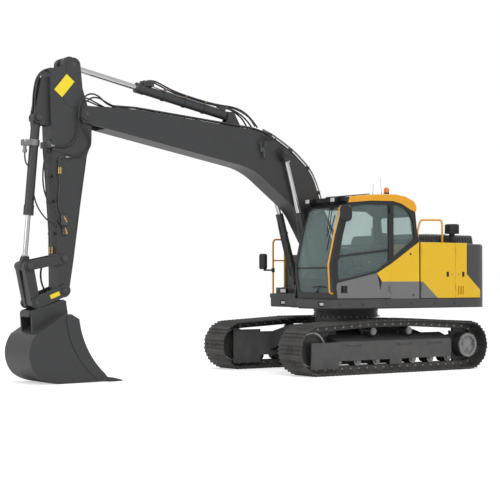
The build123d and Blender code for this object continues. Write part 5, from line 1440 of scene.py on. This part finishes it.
@dataclass
class CabDress(Fitter):
    """Wipers, lamp lenses, mirror faces, antennas, beacon and hatch of the cab.

    Attributes:
        middle: the cab's middle across.
    """

    middle: float = 751.0

    @staticmethod
    def touch(node: str, origin: Vector, way: Vector) -> Vector:
        """Give the place where a ray first meets a CAD node."""
        found, place, _, _ = bpy.data.objects[node].ray_cast(origin, way)
        return place if found else origin

    def glass(self, y: float, z: float, gap: float = 0.0) -> Point:
        """Give the point of the windscreen at a place across and a height, moved ahead by a gap."""
        return local(self.touch("cab_glass", at(1600, y, z), -AHEAD), y, gap)

    def wipers(self) -> None:
        """Lay the upper wiper, the arm beside it and the lower wiper on the windscreen."""
        # Three places across and heights along each arm, then three along its blade
        table = {
            "upper": ((960, 2718), (985, 2560), (1035, 2300), (1045, 2600), (1050, 2300), (1030, 2010)),
            "parallel": ((900, 2718), (930, 2550), (985, 2330), (990, 2420), (985, 2330), (975, 2250)),
            "lower": ((800, 1345), (860, 1385), (900, 1440), (700, 1420), (880, 1452), (1050, 1410)),
        }
        for name, places in table.items():
            arm, blade = places[:3], places[3:]
            pieces = [
                hose("arm", [self.glass(y, z, 34) for y, z in arm], 8, 2),
                hose("blade", [self.glass(y, z, 9) for y, z in blade], 8),
                put(turned("pivot", WIPER_PIVOT), at(*self.glass(*arm[0], 8)), AHEAD),
            ]
            self.group(f"wiper_{name}", pieces, Kit.PLASTIC, "upper")

    def lenses(self) -> None:
        """Set a lens in each lamp."""
        # Columns: the lens's middle, its width and its height
        table = (
            ((1091, 330, 2856), 104, 64),
            ((1091, 1010, 2856), 104, 64),
            ((-647, 751, 2900), 92, 58),
            ((733, -852, 1350), 150, 62),
            ((1255, 930, 1142), 104, 46),
            ((735, -850, 1142), 104, 46),
        )
        pieces = [put(block("lens", (8, wide, high), 3.4), at(*middle)) for middle, wide, high in table]
        self.group("lamp_lenses", pieces, Kit.LENS, "upper")

    def faces(self) -> None:
        """Set the reflecting faces in the mirrors' backs."""
        # Columns: the mirror's middle, its face's width and height, its turn
        table = (((1130, 1410, 2620), 150, 228, 35), ((830, -1330, 1870), 146, 242, 0))
        pieces = []
        for middle, wide, high, turn in table:
            face = block("face", (5, wide, high), 2, 1)
            face.data.transform(Matrix.Translation((-0.031, 0, 0)))
            pieces.append(tilted(face, at(*middle), turn, "Z"))
        self.group("mirror_faces", pieces, Kit.MIRROR, "upper")

    def antennas(self) -> None:
        """Stand two thin antennas on the roof."""
        pieces = []
        # Columns: x of the foot and of the tip, y, the tip's height
        for foot_x, tip_x, y, tip_z in ((-34, 0, 930, 3276), (140, 120, 900, 3160)):
            foot = self.touch("cab_roof", at(foot_x, y, 3300), Vector((0, 0, -1)))
            way = at(tip_x, y, tip_z) - foot
            rings = ((0, 16), (8, 16), (12, 9), (34, 6), (36, 2.6), (way.length * 1000, 2.0))
            pieces.append(put(turned("rod", rings, 10), foot, way))
        self.group("antennas", pieces, Kit.PLASTIC, "upper")

    def beacon(self) -> None:
        """Make the beacon's black foot and its ribbed amber dome."""
        low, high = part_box("beacon")
        foot = Vector(((low[0] + high[0]) / 2, (low[1] + high[1]) / 2, low[2]))
        self.ride(put(turned("beacon_foot", BEACON_FOOT, 28), foot), Kit.PLASTIC, "upper")
        shade = put(turned("beacon_dome", BEACON_DOME, 28), foot + Vector((0, 0, 0.064)))
        self.ride(shade, Kit.AMBER, "upper")
        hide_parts("beacon")

    def build(self) -> None:
        """Dress the cab."""
        self.wipers()
        self.lenses()
        self.faces()
        self.antennas()
        self.beacon()
        hatch = tilted(block("hatch", (470, 620, 22), 9), at(560, self.middle, 2951), 5.7)
        self.ride(hatch, Kit.PLASTIC, "upper")
        bar = put(block("windscreen_bar", (10, 876, 20), 3), at(*self.glass(self.middle, 1736, 4)))
        self.ride(bar, Kit.PLASTIC, "upper")
        bracket = put(block("rail_bracket", (90, 46, 34), 8), at(1062, 1222, 2738))
        self.ride(bracket, Kit.MACHINED, "upper")


@dataclass
class BodyDress(Fitter):
    """Latches, bolts and caps of the upper body.

    Attributes:
        side: how far from the middle the doors' faces lie.
        hood_side: the same for the hood's.
    """

    side: float = 1245.0
    hood_side: float = 850.0

    def latches(self) -> None:
        """Fit a flush latch and a screw to each service door, and two plugs before them."""
        for name, x in (("service_door_front", -1253), ("service_door_rear", -1620)):
            cup = put(block("cup", (52, 8, 84), 3), at(x, self.side + 1, 1638))
            paddle = put(block("paddle", (34, 10, 52), 4), at(x, self.side + 5, 1646))
            spots = [(at(x, self.side + 4, z), LEFT) for z in (1606, 1674)]
            screws = scatter(turned("screw", ((0, 9), (4, 9), (6, 6)), 8), spots)
            self.group(f"{name}_latch", [cup, paddle, screws], Kit.PLASTIC, name)
        plugs = [(at(x, self.side, z), LEFT) for x, z in ((-402, 1977), (-461, 1288))]
        self.studs("front_door_plugs", ((0, 17), (5, 17), (8, 12)), 16, plugs, Kit.PLASTIC, "upper")
        for body, x in (("service_door_front", -1362), ("service_door_rear", -1504)):
            screw = put(turned(f"{body}_screw", ((0, 12), (5, 12), (8, 8)), 12), at(x, self.side, 1640), LEFT)
            self.ride(screw, Kit.MACHINED, body)

    def build(self) -> None:
        """Dress the upper body."""
        self.latches()
        places = [(x, 2216) for x in (-960, -1300, -1700, -2080)]
        spots = both_faces(places, self.hood_side, -self.hood_side)
        self.studs("hood_bolts", HOOD_BOLT, 6, spots, Kit.MACHINED, "engine_hood")
        spots = []
        for node in ("fuel_tank", "hydraulic_tank"):
            low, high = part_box(node)
            spots.append((Vector(((low[0] + high[0]) / 2, (low[1] + high[1]) / 2, high[2])), UP))
        self.studs("tank_caps", TANK_CAP, ROUND, spots, Kit.PLASTIC, "upper")
        row = (640, 120, -420, -960, -1420)
        spots = [(at(x, self.side, 1142), LEFT) for x in (1120, *row)]
        spots += [(at(x, -self.side, 1142), RIGHT) for x in row]
        self.studs("deck_bolts", WASHER_HEAD, 12, spots, Kit.GREY, "upper")


@dataclass
class SeatDress(Fitter):
    """The operator's seat: padded cushion, back and head pad on a rigid frame, with two consoles.

    Attributes:
        x: the seat's middle, forward of the slew axis.
        y: the cab's middle.
        floor: the cab's floor.
        low: the cushion's underside over the floor.
        voxel: the size of the pads' mesh before they are inflated, in metres.
        pressure: what inflates them.
        swell: the most that a point of a pad may move, in metres.
        frames: how long the cloth settles.
    """

    x: float = 130.0
    y: float = 751.0
    floor: float = 1281.0
    low: float = 330.0
    voxel: float = 0.007
    pressure: float = 4.0
    swell: float = 0.016
    frames: int = 20

    def pad(self, name: str, size: Point, middle: Point, lean: float = 0.0) -> Piece:
        """Make one pad: a rounded block, meshed finely and inflated as cloth.

        Args:
            name: the pad's name.
            size: its size in millimetres.
            middle: its centre, in millimetres from the slew axis.
            lean: how far it leans back, in degrees.

        Returns:
            The pad.
        """
        piece = block(name, size, 26, 3)
        self.inflate(piece)
        clear()
        piece.select_set(True)
        bpy.context.view_layer.objects.active = piece
        bpy.ops.object.shade_smooth()
        tilted(piece, at(*middle), -lean)
        self.ride(piece, Kit.CLOTH, "upper")
        return piece

    def inflate(self, piece: Piece) -> None:
        """Inflate a pad with a cloth simulation, and hold every point near where it was.

        Args:
            piece: the pad.
        """
        bpy.context.view_layer.objects.active = piece
        remesh = piece.modifiers.new("remesh", "REMESH")
        remesh.mode = "VOXEL"
        remesh.voxel_size = self.voxel
        bpy.ops.object.modifier_apply(modifier="remesh")
        before = [vertex.co.copy() for vertex in piece.data.vertices]
        cloth = piece.modifiers.new("cloth", "CLOTH")
        cloth.settings.use_pressure = True
        cloth.settings.uniform_pressure_force = self.pressure
        cloth.settings.effector_weights.gravity = 0.0
        cloth.point_cache.frame_start = 1
        cloth.point_cache.frame_end = self.frames
        scene = bpy.context.scene
        for step in range(1, self.frames + 1):
            scene.frame_set(step)
        bpy.ops.object.modifier_apply(modifier="cloth")
        scene.frame_set(1)
        for vertex, old in zip(piece.data.vertices, before):
            moved = vertex.co - old
            if moved.length > self.swell:
                vertex.co = old + moved.normalized() * self.swell

    def frame(self) -> Piece:
        """Make the pedestal's bellows, the pan under the cushion and the shell behind the back.

        Returns:
            The three as one piece.
        """
        rings = [(0, 190)]
        for fold in range(6):
            rings += [(14 + fold * 44, 182), (36 + fold * 44, 158), (58 + fold * 44, 182)]
        rings += [(290, 200)]
        bellows = put(turned("bellows", rings, 28), at(self.x, self.y, self.floor))
        pan = put(block("pan", (500, 480, 36), 14), at(self.x + 16, self.y, self.floor + self.low - 18))
        place = at(self.x - 326, self.y, self.floor + self.low + 410)
        shell = tilted(block("shell", (34, 440, 560), 14), place, -7)
        return joined("seat_frame", [bellows, pan, shell])

    def consoles(self) -> Piece:
        """Make the two consoles with their levers, boots and arm rests.

        Returns:
            Both as one piece.
        """
        pieces = []
        top = self.floor + self.low + 130
        for y in (self.y + 310, self.y - 310):
            pieces += [
                put(block("console", (520, 92, 130), 22, 3), at(self.x + 80, y, top + 14)),
                put(block("rest", (300, 78, 44), 20, 3), at(self.x - 60, y, top + 112)),
                put(turned("boot", LEVER_BOOT, 20), at(self.x + 290, y, top + 76)),
                put(turned("lever", LEVER), at(self.x + 290, y, top + 130)),
            ]
        return joined("seat_consoles", pieces)

    def build(self) -> None:
        """Build the seat in place of its plain solid."""
        self.ride(self.frame(), Kit.PLASTIC, "upper")
        self.ride(self.consoles(), Kit.PLASTIC, "upper")
        base = self.floor + self.low
        cushion = self.pad("seat_cushion", (490, 470, 104), (self.x + 20, self.y, base + 66))
        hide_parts("operator_seat")
        self.pad("seat_back", (72, 440, 430), (self.x - 254, self.y, base + 366), 7)
        self.pad("seat_head", (66, 280, 130), (self.x - 292, self.y, base + 664), 7)


@dataclass
class Studio:
    """The floor, the lamps, the white surroundings and the camera.

    Attributes:
        eye: where the camera stands.
        target: what it looks at.
        lens: focal length for a sensor 36 mm wide.
        white: how bright the surroundings light the object.
        floor_glow: how much the floor shines to the camera, which hides its far edge.
    """

    eye: Point = (12.577, 17.899, 1.546)
    target: Point = (0.160, 0.0, 2.037)
    lens: float = 94.46
    white: float = 0.62
    floor_glow: float = 0.52

    def build(self) -> None:
        """Make the whole studio."""
        self.camera()
        self.world()
        self.floor()
        self.lamp("key", (6.0, 16.0, 15.0), 9.0, 1500.0)
        self.lamp("fill", (19.0, 2.0, 8.0), 8.0, 450.0)
        self.lamp("back", (-12.0, -8.0, 12.0), 8.0, 600.0)

    @staticmethod
    def stand(thing: Piece, place: Point, target: Point) -> None:
        """Put a camera or lamp at a place and point it at a target.

        Args:
            thing: the camera or lamp.
            place: where it goes.
            target: what it points at.
        """
        thing.location = place
        thing.rotation_euler = (Vector(target) - Vector(place)).to_track_quat("-Z", "Y").to_euler()
        bpy.context.scene.collection.objects.link(thing)

    def camera(self) -> None:
        """Stand the camera at the photograph's viewing angle."""
        data = bpy.data.cameras.new("camera")
        data.lens = self.lens
        data.sensor_width = 36.0
        data.clip_end = 200.0
        camera = bpy.data.objects.new("camera", data)
        self.stand(camera, self.eye, self.target)
        bpy.context.scene.camera = camera

    def lamp(self, name: str, place: Point, size: float, power: float) -> None:
        """Hang one square soft lamp that points at the machine.

        Args:
            name: the lamp's name.
            place: where it hangs.
            size: the length of its sides.
            power: its power in watts.
        """
        data = bpy.data.lights.new(name, "AREA")
        data.size = size
        data.energy = power
        self.stand(bpy.data.objects.new(name, data), place, (0, 0, 1.5))

    def world(self) -> None:
        """Light all round softly, and show plain white to the camera and through glass."""
        world = bpy.data.worlds.new("surroundings")
        bpy.context.scene.world = world
        world.use_nodes = True
        graph = Graph(world.node_tree)
        seen = graph.node("ShaderNodeLightPath", out="Is Camera Ray")
        seen = seen | graph.node("ShaderNodeLightPath", out="Is Transmission Ray")
        strength = seen * (1.0 - self.white) + self.white
        glow = graph.node("ShaderNodeBackground", {}, (1.0, 1.0, 1.0, 1.0), strength)
        graph.node("ShaderNodeOutputWorld", {}, glow)

    def floor(self) -> None:
        """Lay a plain pale floor that keeps the machine's shadow."""
        clear()
        bpy.ops.mesh.primitive_plane_add(size=160.0, location=(0, 0, -0.001))
        floor = bpy.context.active_object
        floor.name = "floor"
        bpy.ops.object.transform_apply(location=True, rotation=True, scale=True)
        material = bpy.data.materials.new("floor")
        material.use_nodes = True
        graph = Graph(material.node_tree)
        matte = graph.node("ShaderNodeBsdfDiffuse", {}, (0.86, 0.86, 0.86, 1.0))
        glow = graph.node("ShaderNodeEmission", {}, None, self.floor_glow)
        both = graph.node("ShaderNodeAddShader", {}, matte, glow)
        seen = graph.node("ShaderNodeLightPath", out="Is Camera Ray")
        mixed = graph.node("ShaderNodeMixShader", {}, seen, matte, both)
        graph.node("ShaderNodeOutputMaterial", {}, mixed)
        floor.data.materials.append(material)


DRESSES = (TrackHardware, SlewBolts, ArmDress, BoomDress, BucketDress, CabDress, BodyDress, SeatDress)


def main() -> None:
    """Dress the machine."""
    logging.basicConfig(level=logging.INFO, format="%(name)s: %(message)s")
    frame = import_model()
    finishes = make_finishes()
    Dresser(frame, finishes).dress_nodes()
    for dress in DRESSES:
        dress(finishes).build()
    bpy.context.scene.view_settings.view_transform = "Standard"
    Studio().build()


if __name__ == "__main__":
    main()
